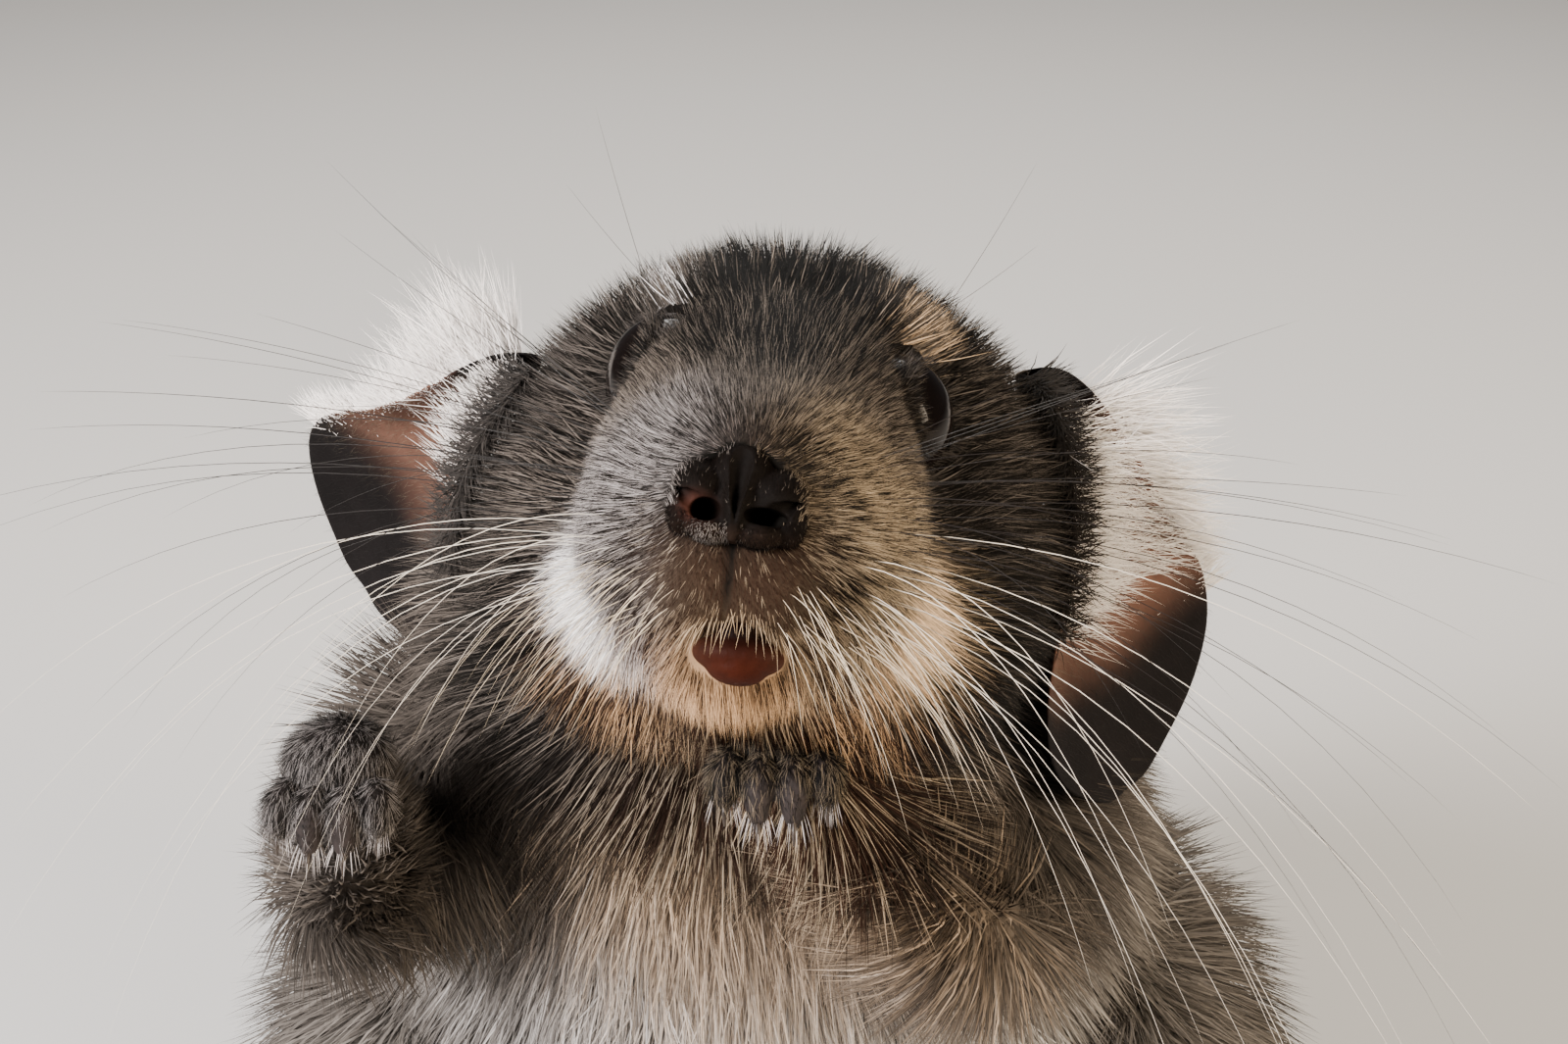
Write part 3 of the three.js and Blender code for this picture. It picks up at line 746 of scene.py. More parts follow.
def guides():
    """Limbs that the coat lies along: a path towards its end, its reach, and how strong its start is."""
    made = [(TAIL_PATH, 16, 1)]
    for name, side in SIDES:
        made.append((FORELEGS[name][1:], 8, 0))
        made.append(([(x * side, y, z) for x, y, z in HIND_FOOT[0]], 10, 1))
        made.append(([(x * side, y, z) for x, y, z in HAUNCH[0][1:4]], 16, 0))
    return made


def lie(roots, outward):
    """Which way the coat lies: away from the nose on the head, along the limbs, and down the body."""
    share = head_share(roots)[:, None]
    away = unit(roots - placed(NOSE_POINT))
    down = np.tile(np.array([0, 0.35, -1.0]), (len(roots), 1))
    for path, reach, start in guides():
        fine = smooth(path, np.linspace(0, 1, 40))
        toward = unit(np.gradient(fine, axis=0))
        apart = np.linalg.norm(roots[:, None, :] - fine[None], axis=2)
        nearest = apart.argmin(1)
        grown = start + (1 - start) * np.clip(nearest / 24, 0, 1)
        felt = (grown * np.exp(-(np.clip(apart.min(1) - 4, 0, None) ** 2) / reach**2))[:, None]
        down = down * (1 - 0.85 * felt) + 1.6 * felt * toward[nearest]
    way = share * away + (1 - share) * unit(down)
    way = way - outward * (way * outward).sum(1)[:, None]
    return unit(way)


TICK_SIZE = 0.14  # of the small tufts that are pale together
TICK_ORDER = 0.55  # share of the head's hairs that take their tuft's tone
HEAD_STRAY = 0.9  # how far the markings run into each other
BODY_STRAY = 3.5


def tones_at(roots, draw):
    """Root, middle and tip colours of each hair, from the markings where it grows."""
    on_head = head_share(roots)[:, None]
    count = len(roots)
    stray = HEAD_STRAY * on_head + BODY_STRAY * (1 - on_head)
    dark, pale, share = markings(roots + stray * draw.normal(size=roots.shape))
    tufted = 1 / (1 + np.exp(-2.4 * waves(roots, TICK_SIZE, 12)[:, 0]))
    chance = np.where(draw.uniform(size=count) < TICK_ORDER, tufted, draw.uniform(size=count))
    light = chance < share
    ticked = np.where(light[:, None], pale, dark) * draw.uniform(0.65, 1.3, count)[:, None]
    clump = share + 0.2 * waves(roots, 9, 6)[:, 0] + draw.normal(0, 0.12, count)
    clump = np.clip(clump, 0.05, 1)[:, None]
    plush = (dark * (1 - clump) + pale * clump) * draw.uniform(0.85, 1.15, count)[:, None]
    body = on_head * ticked + (1 - on_head) * plush
    deep = 0.4 * body + 0.3 * dark
    tip = body * (on_head * np.where(light, 1.1, 0.8)[:, None] + (1 - on_head) * 0.8)
    return deep, np.clip(body, 0, 0.93), np.clip(tip, 0, 0.95)


def share_setting(label, about, least=0.2, most=1.2):
    return bpy.props.FloatProperty(
        name=label, description=about, default=1.0, min=least, max=most, subtype="FACTOR"
    )


def colour_setting(label, about, tone):
    return bpy.props.FloatVectorProperty(
        name=label, description=about, default=tone, min=0, max=1, subtype="COLOR"
    )


class ChinchillaCoat(bpy.types.PropertyGroup):
    """Sizes of the coat"""

    density: share_setting("Density", "Hairs, as a share of the full coat", 0.05)
    lift: bpy.props.FloatProperty(
        name="Lift",
        description="Angle that a hair stands off the skin",
        default=math.radians(30),
        subtype="ANGLE",
    )


class ChinchillaWhiskers(bpy.types.PropertyGroup):
    """Sizes and colours of the whiskers"""

    length: share_setting("Whisker length", "Share of the full length")
    thickness: share_setting("Whisker thickness", "Share of the full thickness", most=2)
    droop: share_setting("Whisker droop", "How far the whiskers hang", 0, 2)
    dark: colour_setting("Dark whiskers", "Colour of the whiskers above", (0.008, 0.006, 0.005))
    pale: colour_setting("Pale whiskers", "Colour of the whiskers below", (0.56, 0.5, 0.42))


class ChinchillaColours(bpy.types.PropertyGroup):
    """Colours of the bare parts"""

    ear_root: colour_setting("Ear root", "Pink of the ears", (0.105, 0.052, 0.036))
    ear_tip: colour_setting("Ear tip", "Dark of the ears", (0.004, 0.003, 0.003))
    nose: colour_setting("Nose", "Nose leather", (0.0022, 0.0014, 0.001))
    lip: colour_setting("Lip", "Red of the lower lip", (0.024, 0.005, 0.0022))
    eye: colour_setting("Eye", "Darkest tone of the eyes", (0.0015, 0.001, 0.001))
    claw: colour_setting("Claw", "Palest tone of the claws", (0.05, 0.036, 0.028))


RIGHT_EYE_SHIFT = (0.6, -0.2, 0.9)
LID_SQUASH = 0.72
LID_RIM = 1.0
LID_SPREAD = 53  # degrees between the eye's axis and the lids


def eye_place(side):
    """An eye's centre in the head's frame: the head's turn shows a little more of the right one."""
    return np.array(EYE_PLACE) * (side, 1, 1) + (RIGHT_EYE_SHIFT if side < 0 else (0, 0, 0))


def eye_turn(side):
    """From a frame whose Z looks out of the eye to the head's."""
    look = Vector(EYE_LOOK)
    look.x *= side
    return np.array(look.to_track_quat("Z", "Y").to_matrix())


def lid(side):
    """The rim of both lids round one eye."""
    spread = math.radians(LID_SPREAD)
    reach = EYE_RADIUS + 0.35 * LID_RIM
    bpy.ops.object.select_all(action="DESELECT")
    bpy.ops.mesh.primitive_torus_add(
        major_radius=reach * math.sin(spread), minor_radius=LID_RIM, major_segments=48, minor_segments=12
    )
    obj = bpy.context.active_object
    ring = coordinates(obj) * (1, LID_SQUASH, 1) + (0, 0, reach * math.cos(spread))
    place_points(obj, moved(ring @ eye_turn(side).T + eye_place(side), HEAD) * MM)
    return obj


class CHINCHILLA_OT_skin(bpy.types.Operator):
    """One skin under the coat, from the head to the hind feet"""

    bl_idname = "chinchilla.skin"
    bl_label = "Skin"

    def execute(self, context):
        head = formed("head_skin", 120, 90, lambda along, around: moved(head_point(along, around, 1), HEAD))
        sockets = [ellipsoid("socket", eye_place(side), (EYE_RADIUS + 0.15,) * 3, HEAD) for _, side in SIDES]
        groove = ellipsoid("philtrum", (0, -36.5, -6.5), (0.45, 3.4, 5.5), HEAD)
        mouth = ellipsoid("mouth", np.array(LOWER_LIP) + (-0.1, -1.8, 0.5), (4.5, 4, 1.9), HEAD)
        head = joined("head_skin", [head, *(lid(side) for _, side in SIDES)])
        remeshed(head, HEAD_VOXELS[0], 1)
        seat = ellipsoid("seat", NOSE_SEAT, (4.1, 5.5, 3.4), HEAD)
        head = cut(head, [*sockets, groove, mouth, seat])
        remeshed(head, HEAD_VOXELS[1], 2)
        forms = [limb("torso_skin", *TORSO, inset=TORSO_INSET), limb("neck_skin", *NECK, inset=NECK_INSET)]
        for name, side in SIDES:
            forms.append(limb(f"haunch_{name}", *HAUNCH, inset=HAUNCH_INSET, matrix=mirrored(side)))
            forms.append(limb(f"foot_{name}", *HIND_FOOT, inset=FOOT_INSETS[0], matrix=mirrored(side)))
            shoulder, elbow, wrist = (np.array(p, float) for p in FORELEGS[name])
            middle = (shoulder + elbow) / 2
            forms.append(limb(f"upper_arm_{name}", (shoulder, middle, elbow), (12, 11, 8), (14, 12, 8)))
            middle = (elbow + wrist) / 2 + (0, -3, 0)
            forms.append(limb(f"forearm_{name}", (elbow, middle, wrist), (7.5, 5.4, 3.8), (7.5, 5, 3.4)))
        forms.append(limb("tail_skin", TAIL_PATH, TAIL_CORE, TAIL_CORE))
        body = joined("body_skin", forms)
        remeshed(body, BODY_VOXEL, 4)
        skin = joined("skin", [head, body])
        low = coordinates(skin)
        low[:, 2] = np.maximum(low[:, 2], FLOOR_GAP * MM)
        place_points(skin, low)
        self.mark(unwrapped(skin))
        finish = marked_material("undercoat", 0.85, 0.04, 900, 0.2)
        nodes = ["head", "neck", "torso", "tail"]
        for name, _ in SIDES:
            nodes += [f"hind_leg_{name}", f"foreleg_{name}"]
        finished(skin, finish, nodes)
        return {"FINISHED"}

    def mark(self, skin):
        """The markings under the coat, and black round the eyes, in the nose's seat and in the groove under
        the nose: painted shade in these hollows.
        """
        points = coordinates(skin) / MM
        dark, pale, share = markings(points)
        share = share[:, None]
        bare = moved(points, HEAD_BACK)
        # Black in the nose's seat and round the eye sockets: painted shade in the hollows.
        black = inside(bare, NOSE_SEAT, (4.9, 6.2, 4.1))
        for _, side in SIDES:
            black |= np.linalg.norm(bare - eye_place(side), axis=1) < EYE_RADIUS + 1.1
        # Black down the groove under the nose: painted shade.
        hollow_shade = np.exp(-((bare[:, 0] / 0.45) ** 2)) * (bare[:, 1] < -30)
        hollow_shade = hollow_shade * np.clip(-2.8 - bare[:, 2], 0, 1) * np.clip((bare[:, 2] + 10.5) / 3, 0, 1)
        hollow_shade = np.where(black, 1, hollow_shade)[:, None]
        tone = 0.6 * (dark * (1 - share) + pale * share)
        give_colour(skin, tone * (1 - hollow_shade) + np.array(BLACK) * hollow_shade)


class CHINCHILLA_OT_coat(bpy.types.Operator):
    """The coat of the head and the body"""

    bl_idname = "chinchilla.coat"
    bl_label = "Coat"

    def execute(self, context):
        coat = context.scene.chinchilla_coat
        skin = bpy.data.objects["skin"]

        def density(centre, facing):
            return coat.density * over_all(centre, HEAD_COAT, BODY_COAT, 5)

        roots, outward, places, draw = scattered(skin, density, 3)
        local = moved(roots, HEAD_BACK)
        bare = np.zeros(len(roots), bool)
        for _, side in SIDES:
            bare |= np.linalg.norm(local - eye_place(side), axis=1) < EYE_RADIUS + 0.6
        bare |= inside(local, NOSE_PAD, (4.3, 4, 2.7))
        bare |= inside(local, NOSE_SEAT, (4.2, 5.6, 3.5))
        bare |= inside(local, LOWER_LIP, (4.2, 6, 2.2))
        bare |= (np.abs(local[:, 0]) < 0.2) & (local[:, 1] < -30) & (np.abs(local[:, 2] + 6) < 4)
        roots, outward, places, local = (x[~bare] for x in (roots, outward, places, local))
        count = len(roots)
        length = over_all(roots, HEAD_COAT, BODY_COAT, 2)
        short = length < SHORT_HAIR
        length = length * draw.uniform(0.75, 1.2, count)
        width = over_all(roots, HEAD_COAT, BODY_COAT, 4) * draw.uniform(0.7, 1.25, count)
        way = lie(roots, outward)
        wander = 0.2 * waves(roots, 3.2, 8) + 0.14 * draw.normal(size=(count, 3))
        way = unit(way + wander - outward * (wander * outward).sum(1)[:, None])
        on_head = head_share(roots) > 0.5
        lift = coat.lift + draw.normal(0, 0.07, count) + np.where(on_head, 0, 0.1)
        beside = np.abs(local) * (1, 0, 0) + local * (0, 1, 1) - (25, 6, 2)
        lift = lift + 0.45 * np.exp(-((beside / (8, 9, 13)) ** 2).sum(1))
        heading = outward * np.sin(lift + 0.25)[:, None] + way * np.cos(lift + 0.25)[:, None]
        bend = 0.2 * way - 0.15 * outward
        finish = marked_material("coat_hair", 0.65, 0.05, 1400)
        tones = tones_at(roots, draw)
        on_tail = (roots[:, 1] > 62) & (roots[:, 2] < 34)
        under = draw.uniform(size=count) < UNDERFUR_SHARE
        groups = (
            ("face_coat", short & on_head, (0, 1)),
            ("paw_coat", short & ~on_head, (0, 1)),
            ("head_underfur", on_head & ~short & under, (0, 1)),
            ("head_coat", on_head & ~short & ~under, (0, 0.5, 1)),
            ("body_underfur", ~on_head & ~short & ~on_tail & under, (0, 1)),
            ("body_coat", ~on_head & ~short & ~on_tail & ~under, (0, 0.5, 1)),
            ("tail_coat", on_tail & ~short, (0, 0.35, 0.7, 1)),
        )
        for name, chosen, stations in groups:
            order = np.argsort(roots[chosen][:, 2])
            rows = (roots - 0.25 * outward, outward, heading, bend, length, width, places)
            rows = [x[chosen][order] for x in rows]
            slot = "tail_coat" if name == "tail_coat" else "coat"
            strands(name, *rows, [tone[chosen][order] for tone in tones], stations, finish, slot)
        return {"FINISHED"}


def claws(name, tips, length, thick):
    """Small curved claws: where each starts, and which way it points."""
    made = []
    sizes = (thick, thick * 0.8, 0.12)
    for i, (start, way) in enumerate(tips):
        middle = start + way * length * 0.5 + (0, 0, 0.3)
        path = [start - way * 1.2, middle, start + way * length + (0, 0, -0.5)]
        made.append(limb(f"{name}_{i}", path, sizes, sizes, sides=12, rings=14))
    return smoothed(joined(name, made))


def toe_bristles(name, tips, finish):
    """The comb of pale bristles that hangs over each claw."""
    draw = np.random.default_rng(53)
    rows = []
    for start, way in tips:
        for _ in range(BRISTLES_EACH):
            spread = np.array([draw.uniform(-1, 1), 0, 0])
            root = start + spread * 0.9 + (0, 1.2, 1.0)
            heading = way + 0.35 * spread + (0, -0.2, 0.25)
            tone = np.array(SILVER) * draw.uniform(0.7, 1.5)
            rows.append((root, heading, (0, 0, -0.25), draw.uniform(2.2, 3.6), 0.07, tone))
    loose_hairs(name, rows, finish, 5, "paw")


def horn_material(colours):
    return mottled_material("claw_horn", 0.4, 0.3, 700, (0.008, 0.006, 0.005), colours.claw)


def paw_material():
    return mottled_material("paw_skin", 0.7, 0.15, 1200, (0.006, 0.005, 0.005), (0.035, 0.026, 0.024), 0.2)


def short_hair(piece, name, finish, density, length, width, ways, tones, seed, where):
    """Short hairs on a paw or foot, lying towards the toes."""
    dark, pale, share = tones

    def density_at(centre, facing):
        return density * where(centre, facing)

    roots, outward, places, draw = scattered(piece, density_at, seed)
    count = len(roots)
    way = ways + 0.2 * draw.normal(size=(count, 3))
    way = unit(way - outward * (way * outward).sum(1)[:, None])
    heading = outward * 0.5 + way * 0.85
    light = draw.uniform(size=count) < share
    body = np.where(light[:, None], pale, dark) * draw.uniform(0.7, 1.3, count)[:, None]
    length = length * draw.uniform(0.7, 1.3, count)
    width = width * draw.uniform(0.8, 1.2, count)
    tones = [0.5 * body, body, body]
    strands(name, roots, outward, heading, way * 0.2, length, width, places, tones, (0, 1), finish, "paw")


FINGER = ((1.4, 1.35, 1.5, 1.3, 0.9), (1.4, 1.25, 1.4, 1.2, 0.9))
TOE = ((2.2, 2.1, 2.3, 1.8), (2, 1.9, 2.1, 1.6))


class CHINCHILLA_OT_forepaws(bpy.types.Operator):
    """Forepaws with fingers, claws and short hair"""

    bl_idname = "chinchilla.forepaws"
    bl_label = "Forepaws"

    def execute(self, context):
        finish, horn = paw_material(), horn_material(context.scene.chinchilla_colours)
        for name, side in SIDES:
            wrist = np.array(FORELEGS[name][2], float)
            palm = (wrist + (0, 1.5, -0.5), wrist + (0, -2.5, 0.4), wrist + (0, -6, -0.8))
            forms = [limb("palm", palm, (4.2, 4.6, 4.6), (3.4, 2.8, 2.2))]
            tips = []
            for offset in (-3.7, -1.3, 1.3, 3.7):
                reach = 7.2 - 0.14 * offset**2
                knuckle = wrist + (offset, -4.8, -0.6)
                path = (
                    knuckle,
                    knuckle + (0.12 * offset, -0.55 * reach, -0.1 * reach),
                    knuckle + (0.2 * offset, -0.85 * reach, -0.62 * reach),
                )
                forms.append(limb("finger", path, *FINGER, sides=16))
                tips.append((path[2] - (0, 0.3, -0.4), unit(np.array([0, -0.75, -0.65]))))
            paw = remeshed(joined(f"paw_{name}", forms), PAW_VOXEL, 2)
            finished(unwrapped(paw), finish, [f"forepaw_{name}"])
            finished(claws(f"paw_claws_{name}", tips, 1.2, 0.32), horn)
            hair = marked_material("paw_hair", 0.65, 0.12, 1400)
            ways = np.array([0, -1.0, -0.35])
            tones = (np.array(SLATE), np.array(SILVER) * 0.6, 0.4)
            # The paw on the +x side takes tan where the other takes silver: painted warm light from that
            # side.
            if side > 0:
                tones = (np.array(BLACK), np.array(TAN) * 0.5, 0.3)
            toes = wrist[1] - 10.2

            def above(centre, facing):
                return (facing[:, 2] > -0.35) * np.clip((centre[:, 1] - toes) / 1.5, 0.12, 1)

            short_hair(paw, f"paw_hair_{name}", hair, PAW_DENSITY, 1.6, 0.085, ways, tones, 41, above)
            toe_bristles(f"paw_bristles_{name}", tips, hair)
        return {"FINISHED"}


class CHINCHILLA_OT_hind_feet(bpy.types.Operator):
    """Hind feet with toes and claws"""

    bl_idname = "chinchilla.hind_feet"
    bl_label = "Hind feet"

    def execute(self, context):
        finish, horn = paw_material(), horn_material(context.scene.chinchilla_colours)

        def above(centre, facing):
            return facing[:, 2] > -0.3

        for name, side in SIDES:
            mirror = mirrored(side)
            forms = [limb("foot", *HIND_FOOT, inset=FOOT_INSETS[1], matrix=mirror)]
            tips = []
            for offset, reach in zip((-6, -2, 2, 5.6), (9, 14, 14, 11)):
                start = np.array([36.0 + offset, -66, 3.4])
                middle = start + (0.1 * offset, -0.6 * reach, 0.2)
                path = np.array([start, middle, start + (0.2 * offset, -reach, -1.2)])
                forms.append(limb("toe", path, *TOE, matrix=mirror, sides=16))
                end = moved(path[2:], mirror)[0]
                tips.append((end + (0, -0.2, 0.3), unit(np.array([0, -0.95, -0.3]))))
            foot = remeshed(joined(f"hind_toes_{name}", forms), FOOT_VOXEL, 2)
            finished(unwrapped(foot), finish, [f"hind_foot_{name}"])
            finished(claws(f"foot_claws_{name}", tips, 1.4, 0.42), horn)
            hair = marked_material("foot_hair", 0.65, 0.12, 1400)
            ways = np.array([0, -1.0, -0.2])
            tones = (np.array(ASH), np.array(SILVER), 0.6)
            short_hair(foot, f"foot_hair_{name}", hair, FOOT_DENSITY, 2.2, 0.16, ways, tones, 43, above)
        return {"FINISHED"}


def ear_matrix(name):
    """The ear's frame: across, towards the tip, and out of its hollow side."""
    root, tip, hollow = (np.array(p, float) for p in EARS[name])
    reach = unit(tip - root)
    facing = unit(hollow - reach * (hollow @ reach))
    made = np.eye(4)
    made[:3, 0], made[:3, 1], made[:3, 2], made[:3, 3] = np.cross(reach, facing), reach, facing, root
    return made


def ear_point(along, around):
    """The leaf of an ear in its own frame: hollow, thin, and bent back towards its tip."""
    t = (1 - np.cos(math.pi * along)) / 2
    cap = np.sin(math.pi * along) ** 0.55
    half = cap * smooth(EAR_WIDE, t) * (EAR_HALF_WIDTH / 16.5)
    cup = smooth(EAR_CUP, t) * cap
    spread = np.cos(around)
    edge = np.sign(np.sin(around)) * np.abs(np.sin(around)) ** 0.6
    slope = np.arctan2(2 * cup * spread, half + 1e-6)
    thick = 0.5 * edge * np.minimum(1, cap * 1.4)
    x = half * spread - thick * np.sin(slope)
    y = EAR_LENGTH * t - EAR_SUNK
    z = cup * spread**2 + thick * np.cos(slope) - 5 * t**2
    return np.stack([x, y, z], 1)


class CHINCHILLA_OT_ears(bpy.types.Operator):
    """Thin drooping ears, pink at the root and black towards the tip"""

    bl_idname = "chinchilla.ears"
    bl_label = "Ears"

    def execute(self, context):
        colours = context.scene.chinchilla_colours
        pink, dark = np.array(colours.ear_root), np.array(colours.ear_tip)
        hair = marked_material("ear_hair", 0.6, 0.1, 900)
        finish = marked_material("ear_skin", 0.7, 0.06, 500, 0.25)
        for name, side in SIDES:
            matrix = ear_matrix(name)

            def leaf(along, around):
                return moved(ear_point(along, around), matrix)

            ear = formed(f"ear_leaf_{name}", 96, 72, leaf)
            local = moved(coordinates(ear) / MM, np.linalg.inv(matrix))
            edge = local[:, 1] + 1.6 * waves(local, 7, 3)[:, 0] + 0.02 * local[:, 0] ** 2
            share = np.clip((edge - 14 - 4 * (side > 0)) / 13, 0, 1)[:, None]
            share = share * share * (3 - 2 * share)
            half = smooth(EAR_WIDE, (local[:, 1] + EAR_SUNK) / EAR_LENGTH)[:, None] * 0.88
            inner = side * local[:, :1] / half
            # Dark at the root and along the inner margin near the root: painted shade where the ear meets the
            # head.
            share = np.maximum(share, np.clip((3 - local[:, 1:2]) / 5, 0, 1))
            high = np.clip((17 - local[:, 1:2]) / 6, 0, 1)
            share = np.maximum(share, np.clip((inner - 0.6) / 0.25, 0, 1) * high)
            mottle = 1 + 0.16 * waves(local, 2.2, 9)[:, :1]
            give_colour(ear, (pink * (1 - share) + dark * share) * mottle)
            finished(unwrapped(smoothed(ear)), finish, [f"ear_{name}"])
            self.fuzz(ear, name, side, matrix, hair)
        return {"FINISHED"}

    def fuzz(self, ear, name, side, matrix, hair):
        """Fine short hairs over both faces of an ear, paler near its root."""

        def density(centre, facing):
            return np.full(len(centre), EAR_FUZZ)

        roots, outward, places, draw = scattered(ear, density, 61)
        count = len(roots)
        toward = matrix[:3, 1] - side * 0.5 * matrix[:3, 0]
        way = unit(toward + 0.35 * draw.normal(size=(count, 3)))
        heading = 0.35 * outward + way
        reach = moved(roots, np.linalg.inv(matrix))[:, 1:2]
        # The fuzz near the root is dark as well: painted shade where the ear meets the head.
        tip = np.maximum(np.clip((reach - 14) / 13, 0, 1), np.clip((4 - reach) / 5, 0, 1))
        tone = np.array(TAN) * 0.5 * (1 - tip) + np.array(ASH) * 0.16 * tip
        tones = [tone * draw.uniform(0.4, 1.2, count)[:, None]] * 3
        length = draw.uniform(0.7, 1.5, count)
        width = draw.uniform(0.04, 0.06, count)
        bend = -0.2 * outward
        name = f"ear_fuzz_{name}"
        strands(name, roots, outward, heading, bend, length, width, places, tones, (0, 1), hair, "coat")


# Whiskers of one side: angle round the head, lift in degrees, dark share, width, share of full length, droop
WHISKER_ROWS = (
    (0.4, 27, 1, 0.08, 0.62, 0.06),
    (0.24, 15, 1, 0.09, 0.85, 0.14),
    (0.1, 8, 1, 0.1, 0.97, 0.22),
    (-0.03, 4, 0.95, 0.1, 1, 0.32),
    (-0.15, 1, 0.75, 0.1, 1, 0.46),
    (-0.27, -1, 0.3, 0.1, 1, 0.64),
    (-0.39, -4, 0, 0.1, 0.95, 0.82),
    (-0.52, -10, 0, 0.08, 0.7, 0.9),
)
# Place from the nose back, forward sweep in degrees, length
WHISKER_COLUMNS = ((0.2, 30, 32), (0.225, 19, 44), (0.25, 9, 54), (0.28, 0, 62), (0.305, -9, 66))
LEFT_DROOP = 1.25  # the left side's whiskers hang more than the right's
BROW_TONE = (0.05, 0.045, 0.04)
BROW_WHISKERS = (  # place on the left side, heading, length
    ((13, -7, 20), (0.42, 0.1, 0.85), 17),
    ((12, -9, 19.5), (0.75, 0.0, 0.6), 12),
)


def loose_hairs(name, rows, finish, stations=7, slot="coat", nodes=()):
    """Single long hairs: each row is root, heading, bend, length, width and colour, in the model's frame."""
    roots, ways, bends, lengths, widths, tones = (np.array(x, float) for x in zip(*rows))
    ways = unit(ways)
    number = np.arange(len(roots))
    places = np.stack([0.05 + 0.9 * (number % 40) / 40, 0.1 + 0.8 * (number // 40) / 40], 1)
    outward = np.tile(unit(np.array([0, -0.45, 0.9])), (len(roots), 1))
    tones, stations = [tones] * 3, np.linspace(0, 1, stations)
    strands(name, roots, outward, ways, bends, lengths, widths, places, tones, stations, finish, slot, nodes)


class CHINCHILLA_OT_whiskers(bpy.types.Operator):
    """Whiskers: thin and dark above, longer and pale below"""

    bl_idname = "chinchilla.whiskers"
    bl_label = "Whiskers"

    def execute(self, context):
        finish = marked_material("whisker", 0.4, 0.3, 400)
        for name, side in SIDES:
            draw = np.random.default_rng(7 if side > 0 else 11)
            rows = []
            for row in WHISKER_ROWS:
                for column in WHISKER_COLUMNS:
                    rows.append(self.whisker(context.scene.chinchilla_whiskers, draw, side, row, column))
            for place, heading, length in BROW_WHISKERS:
                root = moved(np.array([place], float) * (side, 1, 1), HEAD)[0]
                way = turned(np.array(heading) * (side, 1, 1))
                rows.append((root, way, (0, 0.1, 0.05), length, 0.07, BROW_TONE))
            loose_hairs(f"whiskers_{name}", rows, finish, 14, "coat", [f"whisker_pad_{name}"])
        return {"FINISHED"}

    def whisker(self, chosen, draw, side, row, column):
        """One whisker, where a row and a column of its pad meet."""
        around, lift, dark, width, share, droop = row
        along, sweep, length = column
        turn = around + draw.uniform(-0.04, 0.04)
        turn = turn if side > 0 else math.pi - turn
        root = head_point(np.array([along + draw.uniform(-0.01, 0.01)]), np.array([turn]), 1.3)
        up = math.radians(lift + draw.uniform(-5, 5))
        fore = math.radians(sweep + draw.uniform(-8, 8))
        way = (side * math.cos(up) * math.cos(fore), -math.cos(up) * math.sin(fore), math.sin(up))
        fall = chosen.droop * droop * draw.uniform(0.7, 1.35) * (LEFT_DROOP if side > 0 else 1)
        bend = (side * draw.uniform(-0.12, 0), draw.uniform(0, 0.08), -fall)
        tone = chosen.dark if draw.uniform() < dark else chosen.pale
        length = chosen.length * length * share * draw.uniform(0.85, 1.06)
        return moved(root, HEAD)[0], turned(way), bend, length, chosen.thickness * width, tuple(tone)


class CHINCHILLA_OT_lip_hairs(bpy.types.Operator):
    """Fine pale hairs that hang over the mouth, and bristles beside it"""

    bl_idname = "chinchilla.lip_hairs"
    bl_label = "Lip hairs"

    def execute(self, context):
        finish = marked_material("lip_hair", 0.5, 0.2, 400)
        draw = np.random.default_rng(19)
        rows = []
        for x in np.linspace(-2.9, 5.1, LIP_HAIRS):
            z = -9.7 - 0.1 * (x - 1.0) ** 2 + draw.uniform(-0.3, 0.7)
            root = placed((x, -32.6 + 0.09 * x * x, z))
            way = turned((0.14 * (x - 0.4) + draw.normal(0, 0.16), -0.55, -0.85))
            bend = turned((0, 0.45, -0.2))
            tone = np.array([0.42, 0.31, 0.2]) * draw.uniform(0.5, 1.2)
            rows.append((root, way, bend, draw.uniform(1.6, 3.2), 0.05, tone))
        for _, side in SIDES:
            for _ in range(LIP_HAIRS):
                share = draw.uniform()
                root = placed((side * (4 + 8 * share), -32.6 + 5.5 * share, draw.uniform(-11.5, -5.5)))
                level = side * (0.5 + 0.5 * share) + draw.normal(0, 0.1)
                way = turned((level, -0.45, -0.45 + draw.normal(0, 0.12)))
                bend = (0, 0.15, -draw.uniform(0.5, 0.95))
                length = draw.uniform(4, 8) + 10 * share * draw.uniform(0.5, 1)
                tone = np.array([0.6, 0.5, 0.37]) * draw.uniform(0.6, 1.1)
                rows.append((root, way, bend, length, 0.055, tone))
        loose_hairs("lip_bristles", rows, finish)
        return {"FINISHED"}


DOWN = (0.86, 0.8, 0.75)
EAR_TUFTS = {  # which way the down points, and how far along the ear it grows
    "left": ((0.85, 0.1, 0.12), 0.2, 0.52),
    "right": ((-0.52, 0.4, 0.75), 0.12, 0.4),
}


